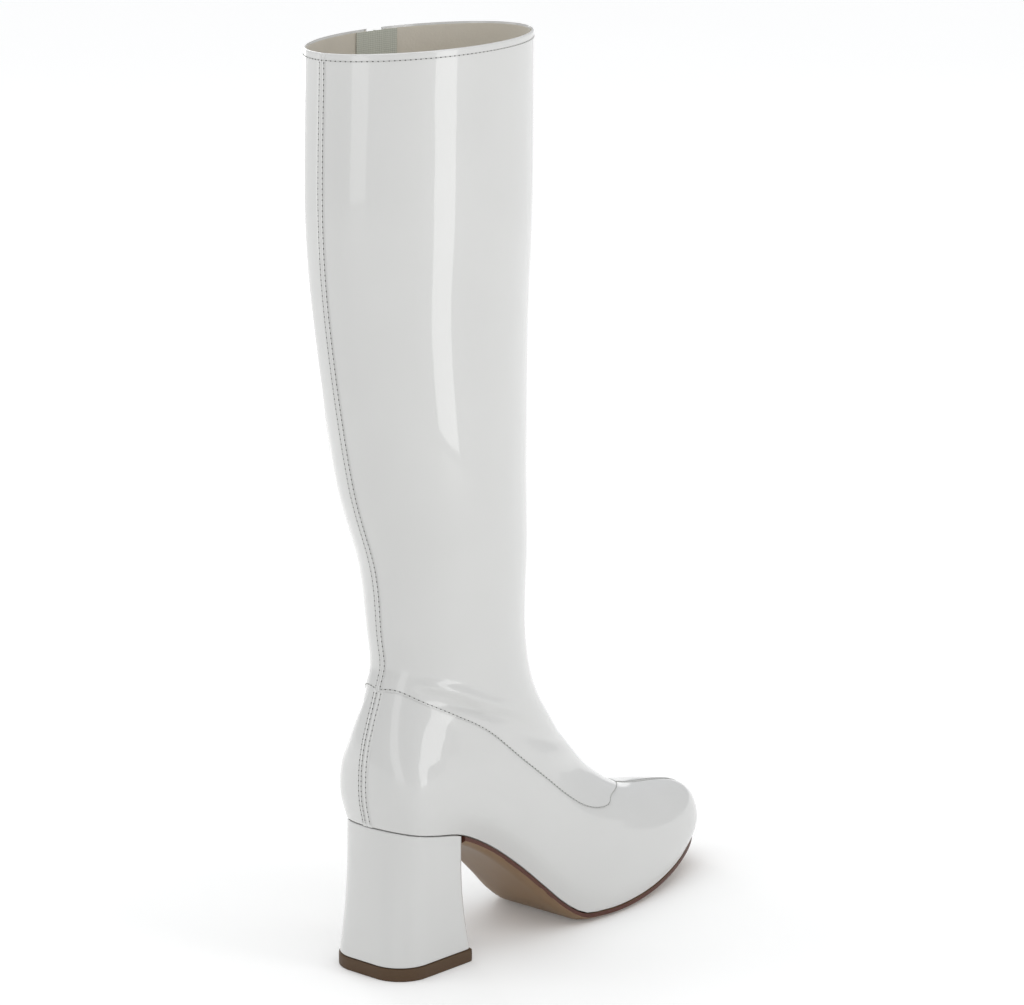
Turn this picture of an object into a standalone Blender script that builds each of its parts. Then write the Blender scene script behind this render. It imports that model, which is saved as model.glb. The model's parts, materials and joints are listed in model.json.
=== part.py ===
# Knee-high boot with a covered block heel and an inside zip, right foot
# +X points to the toe, +Y to the inside of the leg, +Z up; metres
# The origin is the middle of the heel's bearing face, on the floor

import math
from collections import namedtuple

import bmesh
import bpy
import numpy as np
from mathutils import Vector

# Driving sizes of the boot
BOOT_HEIGHT = 0.430
HEEL_HEIGHT = 0.071
FOOT_LENGTH = 0.234
BALL_WIDTH = 0.076
ANKLE_RISE = 0.090
CALF_DEPTH = 0.126
CALF_WIDTH = 0.081
UPPER_WALL = 0.0016
FIT_GAP = 0.0003

# Heel block and the lift it treads on
HEEL_LENGTH = 0.0432
HEEL_FOOT_LENGTH = 0.0485
HEEL_FOOT_WIDTH = 0.0492
HEEL_CORNER_RADIUS = 0.0160
HEEL_FLARE_FRONT = 0.0016
HEEL_HOLLOW = 0.0011
LIFT_THICKNESS = 0.0060
LIFT_OVERHANG = 0.0005

# Outsole and insole
SOLE_THICKNESS = 0.0045
TREAD_FLAT = 0.0005
SOLE_EDGE = 0.0020
SOLE_EDGE_ROUNDING = 6
SOLE_BELLY_FULLNESS = 1.25
TOE_SPRING = 0.0146
TOE_SWING = 0.0075
INSOLE_THICKNESS = 0.0022
INSOLE_CLEARANCE = 0.0012

# Zip on the inside of the leg
ZIP_OPENING = 0.0088
ZIP_TAPE_WIDTH = 0.0240
ZIP_TAPE_THICKNESS = 0.0007
ZIP_TAPE_TAIL = 0.0080
ZIP_CHAIN_WIDTH = 0.0046
ZIP_CHAIN_THICKNESS = 0.0014
ZIP_END_MARGIN = 0.0010
SLIDER_LENGTH = 0.0130
SLIDER_WIDTH = 0.0080
SLIDER_THICKNESS = 0.0022
SLIDER_DROP = 0.0060
PULL_LENGTH = 0.0280
PULL_WIDTH = 0.0062
PULL_NECK_WIDTH = 0.0031
PULL_THICKNESS = 0.0014
PULL_PIN_RADIUS = 0.0007
PULL_EYE_WALL = 0.0011

# Raised seam down the back
BACK_SEAM_WIDTH = 0.0034
BACK_SEAM_RISE = 0.0006

# Mesh fineness
SIDE_COLUMNS = 24
FOOT_ROWS = 3
LEG_ROWS = 3
HEEL_STEPS = 14
HEEL_LAYERS = 8
SOLE_STRIPS = 6
ROUND_STEPS = 16
OUTLINE_POINTS = 24
PLAN_STEP = 0.005
END_PLACE = 0.01
INSOLE_END_PLACE = 0.03
NORMAL_STEP = 0.01
ZIP_LINE_STEP = 0.2
ZIP_TOP_STEP = 0.5
ROW_MARGIN = 0.1
MERGE_DISTANCE = 0.000001
SHARP_ANGLE = math.radians(35)

# The leg's axis, as a share of the foot's length from its back
LEG_AXIS_STATION = 0.233
# How soon the foot's swing fades out above the sole
SWING_FADE = 1.5

HEEL_BREAST = HEEL_FOOT_LENGTH / 2 - HEEL_FLARE_FRONT
HEEL_BACK = HEEL_BREAST - HEEL_LENGTH
SOLE_TOP = SOLE_THICKNESS - TREAD_FLAT + FIT_GAP
ANKLE_HEIGHT = HEEL_HEIGHT + ANKLE_RISE
LEG_LENGTH = BOOT_HEIGHT - ANKLE_HEIGHT
LEG_AXIS = HEEL_BACK + LEG_AXIS_STATION * FOOT_LENGTH

# The feather line, where upper and sole meet, seen from the side
# station: share of the foot length; rise: share of the heel seat's height over the sole;
# spring: share of the toe spring
FeatherPoint = namedtuple("FeatherPoint", "station rise spring")
FEATHER_LINE = (
    FeatherPoint(-0.032, 1.024, 0.00),
    FeatherPoint(0.000, 1.000, 0.00),
    FeatherPoint(0.088, 0.930, 0.00),
    FeatherPoint(0.185, 0.845, 0.00),
    FeatherPoint(0.261, 0.704, 0.00),
    FeatherPoint(0.329, 0.521, 0.00),
    FeatherPoint(0.394, 0.317, 0.00),
    FeatherPoint(0.450, 0.141, 0.00),
    FeatherPoint(0.502, 0.028, 0.00),
    FeatherPoint(0.560, 0.000, 0.00),
    FeatherPoint(0.671, 0.000, 0.00),
    FeatherPoint(0.811, 0.000, 0.26),
    FeatherPoint(0.912, 0.000, 0.61),
    FeatherPoint(0.996, 0.000, 1.00),
    FeatherPoint(1.030, 0.000, 1.18),
)

# Closed sections of the foot, from the feather line up to the ankle
# back, front: shares of the foot length; back_up: share of the ankle's rise over the heel seat;
# front_up: share of the ankle's height over the toe; follow: how far the section bends with the
# feather line; heel to tip: half widths at eight places from back to front, over the ball width
FootSection = namedtuple(
    "FootSection", "back back_up front front_up follow heel counter seat shank waist ball vamp tip"
)
FOOT_SECTIONS = (
    FootSection(0.000, 0.00, 1.000, 0.000, 1.00, 0.86, 0.80, 0.505, 0.33, 0.325, 0.475, 0.545, 0.61),
    FootSection(-0.012, 0.15, 1.012, 0.060, 0.95, 0.88, 0.86, 0.580, 0.45, 0.390, 0.515, 0.585, 0.64),
    FootSection(-0.012, 0.30, 0.986, 0.136, 0.80, 0.84, 0.82, 0.590, 0.46, 0.400, 0.490, 0.545, 0.59),
    FootSection(-0.004, 0.425, 0.912, 0.175, 0.62, 0.74, 0.68, 0.540, 0.45, 0.390, 0.450, 0.475, 0.50),
    FootSection(0.010, 0.54, 0.765, 0.226, 0.45, 0.62, 0.57, 0.480, 0.42, 0.375, 0.400, 0.400, 0.415),
    FootSection(0.024, 0.64, 0.641, 0.344, 0.30, 0.51, 0.48, 0.430, 0.39, 0.363, 0.363, 0.363, 0.365),
    FootSection(0.036, 0.735, 0.537, 0.510, 0.18, 0.45, 0.43, 0.390, 0.37, 0.350, 0.350, 0.350, 0.355),
    FootSection(0.046, 0.835, 0.456, 0.704, 0.08, 0.41, 0.40, 0.375, 0.36, 0.350, 0.350, 0.350, 0.355),
)

# Level sections of the leg, from the ankle up to the collar
# rise: share of the leg's length; back, front: shares of the calf depth from the leg's axis;
# heel to tip: half widths at eight places from back to front, over the calf width
LegSection = namedtuple(
    "LegSection", "rise back front front_rise heel counter seat shank waist ball vamp tip"
)
LEG_SECTIONS = (
    LegSection(0.000, 0.363, 0.360, -0.040, 0.375, 0.365, 0.350, 0.345, 0.340, 0.338, 0.330, 0.330),
    LegSection(0.115, 0.392, 0.358, 0.115, 0.390, 0.395, 0.400, 0.400, 0.395, 0.385, 0.370, 0.365),
    LegSection(0.273, 0.504, 0.342, 0.273, 0.435, 0.440, 0.445, 0.445, 0.445, 0.435, 0.420, 0.415),
    LegSection(0.510, 0.600, 0.345, 0.510, 0.450, 0.455, 0.460, 0.465, 0.465, 0.465, 0.455, 0.440),
    LegSection(0.720, 0.640, 0.357, 0.720, 0.480, 0.485, 0.485, 0.495, 0.500, 0.500, 0.490, 0.475),
    LegSection(1.000, 0.625, 0.362, 1.012, 0.485, 0.490, 0.490, 0.495, 0.500, 0.500, 0.490, 0.480),
)

# Where the eight widths of a section stand, from the back (0) to the front (1)
WIDTH_PLACES = (0.0, 0.1, 0.2, 0.3, 0.42, 0.6, 0.8, 1.0)
# How the widths of the foot's two sides differ at those places
INSIDE_TRIM = (0.0, 0.0, 0.0, -0.04, -0.14, 0.02, -0.02, 0.0)
OUTSIDE_TRIM = (0.0, 0.0, 0.0, 0.02, 0.10, 0.0, -0.06, 0.0)
# Where the foot leans to the inside, along its length, and how much of the swing
SWING_STATIONS = (0.0, 0.26, 0.50, 0.74, 1.0)
SWING_SHARES = (0.0, 0.0, 0.12, 0.62, 1.0)

# The zip's course: section number from the feather line up, and place from back to front
ZIP_SECTIONS = (0.0, 1.0, 4.0, 7.0, 9.0, 11.0, 13.0)
ZIP_PLACES = (0.425, 0.425, 0.430, 0.482, 0.512, 0.553, 0.556)
ZIP_BOTTOM_SECTION = 1.0
LAST_SECTION = len(FOOT_SECTIONS) + len(LEG_SECTIONS) - 1

# The column of a section's first width, after its ends and its follow
FIRST_WIDTH = 5

INSIDE = 1
OUTSIDE = -1

Material = namedtuple("Material", "name color roughness metallic")
PATENT = Material("white_patent", (0.80, 0.80, 0.79, 1), 0.10, 0.0)
SOLE_MAT = Material("tan_outsole", (0.30, 0.20, 0.13, 1), 0.55, 0.0)
LIFT_MAT = Material("brown_rubber", (0.10, 0.065, 0.04, 1), 0.60, 0.0)
INSOLE_MAT = Material("insole_lining", (0.72, 0.69, 0.63, 1), 0.70, 0.0)
TAPE_MAT = Material("zip_tape", (0.66, 0.68, 0.62, 1), 0.80, 0.0)
CHAIN_MAT = Material("zip_chain", (0.70, 0.71, 0.66, 1), 0.45, 0.0)
METAL_MAT = Material("zip_metal", (0.75, 0.75, 0.74, 1), 0.22, 1.0)


def clear_scene():
    for thing in list(bpy.data.objects):
        bpy.data.objects.remove(thing, do_unlink=True)


def make_collection(name):
    collection = bpy.data.collections.new(name)
    bpy.context.scene.collection.children.link(collection)
    return collection


def make_material(spec):
    material = bpy.data.materials.new(spec.name)
    material.use_nodes = True
    shader = material.node_tree.nodes["Principled BSDF"]
    shader.inputs["Base Color"].default_value = spec.color
    shader.inputs["Roughness"].default_value = spec.roughness
    shader.inputs["Metallic"].default_value = spec.metallic
    return material


def smooth_curve(places, values, x):
    """A smooth curve through the values (rows of an array, or numbers) at the places."""
    places = np.asarray(places, float)
    values = np.asarray(values, float)
    x = np.asarray(x, float)
    steps = np.diff(places)
    shape = (-1,) + (1,) * (values.ndim - 1)
    slopes = np.diff(values, axis=0) / steps.reshape(shape)
    tangents = np.empty_like(values)
    left = steps[:-1].reshape(shape)
    right = steps[1:].reshape(shape)
    tangents[1:-1] = (slopes[:-1] * right + slopes[1:] * left) / (left + right)
    tangents[0] = slopes[0]
    tangents[-1] = slopes[-1]
    i = np.clip(np.searchsorted(places, x) - 1, 0, len(places) - 2)
    span = places[i + 1] - places[i]
    s = np.clip((x - places[i]) / span, 0.0, 1.0)
    if values.ndim > 1:
        s = s[..., None]
        span = span[..., None]
    near = (2 * s**3 - 3 * s**2 + 1) * values[i] + (s**3 - 2 * s**2 + s) * span * tangents[i]
    far = (3 * s**2 - 2 * s**3) * values[i + 1] + (s**3 - s**2) * span * tangents[i + 1]
    return near + far


def feather_height(x):
    """Height of the feather line at x."""
    stations = [HEEL_BACK + p.station * FOOT_LENGTH for p in FEATHER_LINE]
    drop = HEEL_HEIGHT - SOLE_TOP
    heights = [SOLE_TOP + p.rise * drop + p.spring * TOE_SPRING for p in FEATHER_LINE]
    return smooth_curve(stations, heights, x)


def toe_swing(x):
    """How far the foot's middle line leans to the inside at x."""
    stations = [HEEL_BACK + s * FOOT_LENGTH for s in SWING_STATIONS]
    return smooth_curve(stations, [s * TOE_SWING for s in SWING_SHARES], x)


def section_rows():
    """Every section as metres: back x and z, front x and z, follow, then eight half widths."""
    rows = []
    toe = float(feather_height(HEEL_BACK + FOOT_LENGTH))
    for s in FOOT_SECTIONS:
        back_x = HEEL_BACK + s.back * FOOT_LENGTH
        back_z = HEEL_HEIGHT + s.back_up * ANKLE_RISE
        front_x = HEEL_BACK + s.front * FOOT_LENGTH
        front_z = toe + s.front_up * (ANKLE_HEIGHT - toe)
        widths = [share * BALL_WIDTH for share in s[FIRST_WIDTH:]]
        rows.append([back_x, back_z, front_x, front_z, s.follow] + widths)
    for s in LEG_SECTIONS:
        back_x = LEG_AXIS - s.back * CALF_DEPTH
        back_z = ANKLE_HEIGHT + s.rise * LEG_LENGTH
        front_x = LEG_AXIS + s.front * CALF_DEPTH
        front_z = ANKLE_HEIGHT + s.front_rise * LEG_LENGTH
        widths = [share * CALF_WIDTH for share in s[FIRST_WIDTH - 1:]]
        rows.append([back_x, back_z, front_x, front_z, 0.0] + widths)
    return np.array(rows)


SECTIONS = section_rows()


def section_at(v):
    """The section between the table's rows at v, as one row of numbers."""
    return smooth_curve(np.arange(len(SECTIONS)), SECTIONS, np.asarray(v, float))


def upper_point(v, t, side):
    """A point on the outside of the upper: v is the section, t the place from back to front."""
    row = section_at(v)
    back_x, back_z, front_x, front_z, follow = row[:FIRST_WIDTH]
    share = (1 - math.cos(math.pi * t)) / 2
    x = back_x + (front_x - back_x) * share
    half = math.sin(math.pi * t) * float(smooth_curve(WIDTH_PLACES, row[FIRST_WIDTH:], t))
    low, high = feather_height(np.array([back_x, front_x]))
    chord = low + (high - low) * share
    z = back_z + (front_z - back_z) * share + follow * (float(feather_height(x)) - chord)
    trims = INSIDE_TRIM if side == INSIDE else OUTSIDE_TRIM
    half *= 1 + follow * float(smooth_curve(WIDTH_PLACES, trims, t))
    y = float(toe_swing(x)) * min(1.0, SWING_FADE * follow) + side * half
    return Vector((x, y, z))


def upper_normal(v, t, side):
    """The outward direction of the upper at a place that isn't on its middle line."""
    low_v = max(0.0, v - NORMAL_STEP)
    high_v = min(float(LAST_SECTION), v + NORMAL_STEP)
    up = upper_point(high_v, t, side) - upper_point(low_v, t, side)
    along = upper_point(v, t + NORMAL_STEP, side) - upper_point(v, t - NORMAL_STEP, side)
    normal = up.cross(along) * side
    return normal.normalized()


def zip_place(v):
    """The place of the zip's middle, from back to front, on section v."""
    return float(smooth_curve(ZIP_SECTIONS, ZIP_PLACES, v))


def place_per_length(v, t):
    """How much t changes for a metre along section v."""
    row = section_at(v)
    return 1.0 / (math.pi / 2 * (row[2] - row[0]) * math.sin(math.pi * t))


def side_places(v):
    """The columns of one side at section v, from just past the back seam to just short of the front."""
    middle = zip_place(v)
    reach = ZIP_OPENING / 2 * place_per_length(v, middle)
    row = section_at(v)
    seam = BACK_SEAM_WIDTH / 2 / (math.pi * row[FIRST_WIDTH])
    behind = SIDE_COLUMNS // 2
    ahead = SIDE_COLUMNS - behind
    places = [seam]
    for i in range(1, behind):
        places.append(seam + (middle - reach - seam) * i / behind)
    places += [middle - reach, middle + reach]
    for i in range(1, ahead):
        places.append(middle + reach + (1 - middle - reach) * i / ahead)
    return places


def mesh_object(name, build, material, collection):
    """An object whose mesh is filled by build(bm)."""
    mesh = bpy.data.meshes.new(name)
    bm = bmesh.new()
    build(bm)
    bmesh.ops.remove_doubles(bm, verts=bm.verts, dist=MERGE_DISTANCE)
    bmesh.ops.recalc_face_normals(bm, faces=bm.faces)
    bm.to_mesh(mesh)
    bm.free()
    mesh.materials.append(material)
    mesh.shade_smooth()
    mesh.set_sharp_from_angle(angle=SHARP_ANGLE)
    thing = bpy.data.objects.new(name, mesh)
    collection.objects.link(thing)
    return thing


def add_loop_faces(bm, lower, upper, closed=True, skip=()):
    """Faces between two rows of vertices."""
    count = len(lower)
    for i in range(count if closed else count - 1):
        j = (i + 1) % count
        if i not in skip:
            bm.faces.new((lower[i], lower[j], upper[j], upper[i]))


def add_wall(thing, thickness):
    """Gives an open sheet its thickness, inwards."""
    wall = thing.modifiers.new("wall", "SOLIDIFY")
    wall.thickness = thickness
    wall.offset = -1
    wall.use_even_offset = True
    wall.thickness_clamp = 2.0
    return wall


def upper_rows():
    """The sections at which the upper has a row of points, closer together on the foot."""
    ankle = len(FOOT_SECTIONS)
    foot = [i / FOOT_ROWS for i in range(ankle * FOOT_ROWS)]
    leg = [ankle + i / LEG_ROWS for i in range((LAST_SECTION - ankle) * LEG_ROWS + 1)]
    return foot + leg


def rim_point(t, side):
    """A point on the upper's lower edge, which runs straight from column to column."""
    places = [0.0] + side_places(0.0) + [1.0]
    i = min(len(places) - 2, int(np.searchsorted(places, t, side="right")) - 1)
    near = upper_point(0.0, places[i], side)
    far = upper_point(0.0, places[i + 1], side)
    return near.lerp(far, (t - places[i]) / (places[i + 1] - places[i]))


def build_upper(bm):
    """The outer skin: each row runs from the back seam up the inside to the front and back outside."""
    previous = None
    zip_gap = SIDE_COLUMNS // 2
    for v in upper_rows():
        places = side_places(v)
        points = [upper_point(v, 0.0, INSIDE) - Vector((BACK_SEAM_RISE, 0, 0))]
        points += [upper_point(v, t, INSIDE) for t in places]
        points += [upper_point(v, 1.0, INSIDE)]
        points += [upper_point(v, t, OUTSIDE) for t in reversed(places)]
        row = [bm.verts.new(p) for p in points]
        if previous:
            open_zip = v > ZIP_BOTTOM_SECTION + ROW_MARGIN
            add_loop_faces(bm, previous, row, skip=(zip_gap + 1,) if open_zip else ())
        previous = row


def place_at(x):
    """The place on the feather line's section, from back (0) to front (1), that lies at x."""
    share = (x - HEEL_BACK) / FOOT_LENGTH
    return math.acos(1 - 2 * share) / math.pi


def spread(points, count):
    """The line through the points, as count equal steps along its length."""
    lengths = [0.0]
    for p, q in zip(points, points[1:]):
        lengths.append(lengths[-1] + (q - p).length)
    spots = []
    for i in range(count + 1):
        at = lengths[-1] * i / count
        j = min(len(points) - 2, max(0, int(np.searchsorted(lengths, at)) - 1))
        spots.append(points[j].lerp(points[j + 1], (at - lengths[j]) / (lengths[j + 1] - lengths[j])))
    return spots


def heel_top_outline(side):
    """One half of the heel's top edge, from the back to the breast, just under the upper's rim."""
    last = place_at(HEEL_BREAST)
    points = [rim_point(last * i / OUTLINE_POINTS, side) for i in range(OUTLINE_POINTS + 1)]
    return [p - Vector((0, 0, FIT_GAP)) for p in spread(points, HEEL_STEPS)]


def heel_foot_outline(side, grow, z):
    """One half of the heel's foot: straight across the back, a round corner, straight to the breast."""
    half = HEEL_FOOT_WIDTH / 2 + grow
    radius = HEEL_CORNER_RADIUS + grow
    front = HEEL_FOOT_LENGTH / 2 + grow
    points = [Vector((-front, 0, z))]
    for i in range(OUTLINE_POINTS + 1):
        angle = math.pi / 2 * i / OUTLINE_POINTS
        x = -front + radius * (1 - math.sin(angle + math.pi / 2))
        y = half - radius * (1 - math.sin(angle))
        points.append(Vector((x, side * y, z)))
    points.append(Vector((front, side * half, z)))
    return spread(points, HEEL_STEPS)


def full_ring(outside, inside):
    """Both halves of an outline as one ring: from the back along the outside, round by the inside."""
    return outside + inside[:0:-1]


def cap_ribs(bm, ring):
    """Closes a full ring by bands across it, each between the same places of both sides."""
    count = len(ring)
    bm.faces.new((ring[0], ring[1], ring[count - 1]))
    for i in range(1, HEEL_STEPS):
        bm.faces.new((ring[i], ring[i + 1], ring[count - i - 1], ring[count - i]))


def build_heel(bm):
    """The block, lofted from the seat's outline down to its squarer foot, a little hollow between."""
    foot_z = LIFT_THICKNESS + FIT_GAP
    top = full_ring(heel_top_outline(OUTSIDE), heel_top_outline(INSIDE))
    foot = full_ring(heel_foot_outline(OUTSIDE, 0.0, foot_z), heel_foot_outline(INSIDE, 0.0, foot_z))
    previous = None
    for layer in range(HEEL_LAYERS + 1):
        down = layer / HEEL_LAYERS
        shrink = 1 - 2 * HEEL_HOLLOW / HEEL_FOOT_WIDTH * math.sin(math.pi * down)
        ring = []
        for high, low in zip(top, foot):
            p = high.lerp(low, down)
            ring.append(bm.verts.new((p.x * shrink, p.y * shrink, p.z)))
        if previous:
            add_loop_faces(bm, previous, ring)
        else:
            cap_ribs(bm, ring)
        previous = ring
    cap_ribs(bm, previous)


def build_lift(bm):
    """The wearing piece under the heel, a little larger than the block."""
    rings = []
    for z in (0.0, LIFT_THICKNESS):
        halves = [heel_foot_outline(side, LIFT_OVERHANG, z) for side in (OUTSIDE, INSIDE)]
        rings.append([bm.verts.new(p) for p in full_ring(*halves)])
    add_loop_faces(bm, rings[0], rings[1])
    cap_ribs(bm, rings[0])
    cap_ribs(bm, rings[1])


def sole_places(first, last):
    """Places of the sole's ribs: those of the upper's columns that lie between the two, and the two."""
    return [first] + [t for t in side_places(0.0) if first + END_PLACE < t < last - END_PLACE] + [last]


def inset_point(t, side, inset):
    """A point of the upper's lower edge, moved inwards by inset as seen from above."""
    p = rim_point(t, side)
    along = upper_point(0.0, t + PLAN_STEP, side) - upper_point(0.0, t - PLAN_STEP, side)
    inwards = Vector((side * along.y, -side * along.x, 0)).normalized()
    return p + inwards * inset


def sole_bottom(top, share):
    """Height of the outsole's underside below a point of its top: rounded across, flat where it treads."""
    belly = min(1.0, SOLE_BELLY_FULLNESS * (1 - abs(share) ** SOLE_EDGE_ROUNDING))
    return max(0.0, top - SOLE_EDGE - (SOLE_THICKNESS - SOLE_EDGE) * belly)


def build_ribbed_plate(bm, ribs):
    """A closed plate from ribs that are rings of points; the first and last ribs are capped."""
    rings = [[bm.verts.new(p) for p in rib] for rib in ribs]
    for lower, upper in zip(rings, rings[1:]):
        add_loop_faces(bm, lower, upper)
    for ring in (rings[0], rings[-1]):
        half = len(ring) // 2
        for i in range(half - 1):
            j = len(ring) - 1 - i
            bm.faces.new((ring[i], ring[i + 1], ring[j - 1], ring[j]))


def across(count):
    """Shares from one edge (-1) to the other (1), closer together at the edges."""
    return [-math.cos(math.pi * i / count) for i in range(count + 1)]


def build_outsole(bm):
    """The outsole, from the heel's breast to the toe."""
    ribs = []
    for t in sole_places(place_at(HEEL_BREAST + FIT_GAP), 1 - END_PLACE):
        outer = rim_point(t, OUTSIDE)
        inner = rim_point(t, INSIDE)
        drop = Vector((0, 0, FIT_GAP))
        shares = across(SOLE_STRIPS)
        top = [outer.lerp(inner, (s + 1) / 2) - drop for s in shares]
        bottom = [Vector((p.x, p.y, sole_bottom(p.z, s))) for p, s in zip(top, shares)]
        ribs.append(top + bottom[::-1])
    build_ribbed_plate(bm, ribs)


def build_insole(bm):
    """The board and sock inside the upper, from heel to toe."""
    inset = UPPER_WALL + INSOLE_CLEARANCE
    ribs = []
    for t in sole_places(INSOLE_END_PLACE, 1 - INSOLE_END_PLACE):
        outer = inset_point(t, OUTSIDE, inset)
        inner = inset_point(t, INSIDE, inset)
        bottom = [outer.lerp(inner, share) for share in (0.0, 0.5, 1.0)]
        top = [p + Vector((0, 0, INSOLE_THICKNESS)) for p in reversed(bottom)]
        ribs.append(bottom + top)
    build_ribbed_plate(bm, ribs)


def zip_point(v, offset, depth):
    """A point on the inside of the leg, offset along the section from the zip's middle, depth inwards."""
    middle = zip_place(v)
    t = middle + offset * place_per_length(v, middle)
    return upper_point(v, t, INSIDE) - upper_normal(v, t, INSIDE) * depth


def section_above(v, height):
    """The section that lies height further up the zip's line than section v; height may be negative."""
    step = ZIP_LINE_STEP if height > 0 else -ZIP_LINE_STEP
    here = upper_point(v, zip_place(v), INSIDE)
    there = upper_point(v + step, zip_place(v + step), INSIDE)
    return v + step * abs(height) / (there - here).length


def zip_rows(first, last):
    """The sections that a strip of the zip passes, from first to last."""
    return [first] + [v for v in upper_rows() if first + ROW_MARGIN < v < last - ROW_MARGIN] + [last]


def build_strip(bm, width, depth, thickness, first, columns):
    """A strip that follows the zip, as a closed solid between two depths under the upper's outside."""
    rings = []
    for v in zip_rows(first, section_above(LAST_SECTION, -ZIP_END_MARGIN)):
        offsets = [width * (i / columns - 0.5) for i in range(columns + 1)]
        outer = [zip_point(v, o, depth) for o in offsets]
        inner = [zip_point(v, o, depth + thickness) for o in reversed(offsets)]
        rings.append(outer + inner)
    build_ribbed_plate(bm, rings)


def build_tape(bm):
    first = section_above(ZIP_BOTTOM_SECTION, -ZIP_TAPE_TAIL)
    build_strip(bm, ZIP_TAPE_WIDTH, UPPER_WALL + FIT_GAP, ZIP_TAPE_THICKNESS, first, 4)


def build_chain(bm):
    first = section_above(ZIP_BOTTOM_SECTION, ZIP_END_MARGIN)
    build_strip(bm, ZIP_CHAIN_WIDTH, UPPER_WALL - ZIP_CHAIN_THICKNESS, ZIP_CHAIN_THICKNESS, first, 2)


def add_box(name, size, material, collection):
    """A block, centred on its own origin."""

    def build(bm):
        bmesh.ops.create_cube(bm, size=1.0)
        bmesh.ops.scale(bm, vec=size, verts=bm.verts)

    return mesh_object(name, build, material, collection)


def add_cylinder(name, radius, length, material, collection):
    """A cylinder along X, centred on its own origin."""

    def build(bm):
        bmesh.ops.create_cone(
            bm, cap_ends=True, segments=ROUND_STEPS, radius1=radius, radius2=radius, depth=length
        )
        turn = Vector((0, 0, 1)).rotation_difference(Vector((1, 0, 0))).to_matrix()
        bmesh.ops.rotate(bm, matrix=turn, verts=bm.verts)

    return mesh_object(name, build, material, collection)


def boolean(thing, cutter, operation):
    """Joins or cuts thing with a helper, and keeps the helper out of the render."""
    step = thing.modifiers.new(cutter.name, "BOOLEAN")
    step.object = cutter
    step.operation = operation
    cutter.hide_render = True
    cutter.display_type = "WIRE"
    cutter.parent = thing
    return step


def build_slider(collection, helpers, metal):
    """The slider and its pull. Their own frames have +X across the zip, +Y outwards, +Z up it."""
    top = LAST_SECTION - ZIP_TOP_STEP
    seat = zip_point(LAST_SECTION, 0.0, 0.0)
    below = zip_point(top, 0.0, 0.0)
    up = (seat - below).normalized()
    centre = seat - up * (SLIDER_DROP + SLIDER_LENGTH / 2)
    out = upper_normal(top, zip_place(top), INSIDE)
    lift = -(UPPER_WALL - ZIP_CHAIN_THICKNESS) + FIT_GAP + SLIDER_THICKNESS / 2
    heading = math.atan2(out.y, out.x)
    turn = (0.0, 0.0, heading - math.pi / 2)
    place = centre + out * lift

    body_size = (SLIDER_WIDTH, SLIDER_THICKNESS, SLIDER_LENGTH)
    slider = add_box("zip_slider", body_size, metal, collection)
    slider.location = place
    slider.rotation_euler = turn
    eye_radius = PULL_PIN_RADIUS + FIT_GAP + PULL_EYE_WALL
    stand = SLIDER_THICKNESS / 2 + FIT_GAP + eye_radius
    ear_gap = PULL_NECK_WIDTH + 2 * FIT_GAP
    ear_width = (SLIDER_WIDTH - ear_gap) / 2 - FIT_GAP
    ear_size = (ear_width, stand + eye_radius - FIT_GAP, 2 * eye_radius)
    for side in (-1, 1):
        ear = add_box(f"ear_{side}", ear_size, metal, helpers)
        ear.location = (side * (ear_gap + ear_width) / 2, ear_size[1] / 2, 0.0)
        boolean(slider, ear, "UNION")
    pin = add_cylinder("pin", PULL_PIN_RADIUS, SLIDER_WIDTH - 3 * FIT_GAP, metal, helpers)
    pin.location = (0, stand, 0)
    boolean(slider, pin, "UNION")

    pull = add_cylinder("zip_pull", eye_radius, PULL_NECK_WIDTH, metal, collection)
    pull.location = place + Vector((out.x, out.y, 0)).normalized() * stand
    pull.rotation_euler = turn
    tab_top = 2 * eye_radius + FIT_GAP
    tab_size = (PULL_WIDTH, PULL_THICKNESS, PULL_LENGTH - eye_radius)
    tab = add_box("tab", tab_size, metal, helpers)
    tab.location = (0, 0, -tab_top - tab_size[2] / 2)
    neck_bottom = tab_top + PULL_THICKNESS
    neck = add_box("neck", (PULL_NECK_WIDTH, PULL_THICKNESS, neck_bottom - PULL_PIN_RADIUS), metal, helpers)
    neck.location = (0, 0, -(neck_bottom + PULL_PIN_RADIUS) / 2)
    bore = add_cylinder("bore", PULL_PIN_RADIUS + FIT_GAP, PULL_WIDTH, metal, helpers)
    boolean(pull, neck, "UNION")
    boolean(pull, tab, "UNION")
    boolean(pull, bore, "DIFFERENCE")
    return slider, pull


def main():
    clear_scene()
    boot = make_collection("go_go_boot")
    helpers = make_collection("helpers")
    patent = make_material(PATENT)
    upper = mesh_object("upper", build_upper, patent, boot)
    add_wall(upper, UPPER_WALL)
    mesh_object("heel_block", build_heel, patent, boot)
    mesh_object("heel_top_lift", build_lift, make_material(LIFT_MAT), boot)
    mesh_object("outsole", build_outsole, make_material(SOLE_MAT), boot)
    mesh_object("insole", build_insole, make_material(INSOLE_MAT), boot)
    mesh_object("zip_tape", build_tape, make_material(TAPE_MAT), boot)
    mesh_object("zip_chain", build_chain, make_material(CHAIN_MAT), boot)
    build_slider(boot, helpers, make_material(METAL_MAT))


main()
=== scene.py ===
# Knee-high patent boot, right foot: skins, stitching, heel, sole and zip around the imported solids
# +X points to the toe, +Y to the inside of the leg, +Z up; metres

import json
import math

import bpy
import numpy as np
from mathutils import Matrix, Vector, noise


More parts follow.
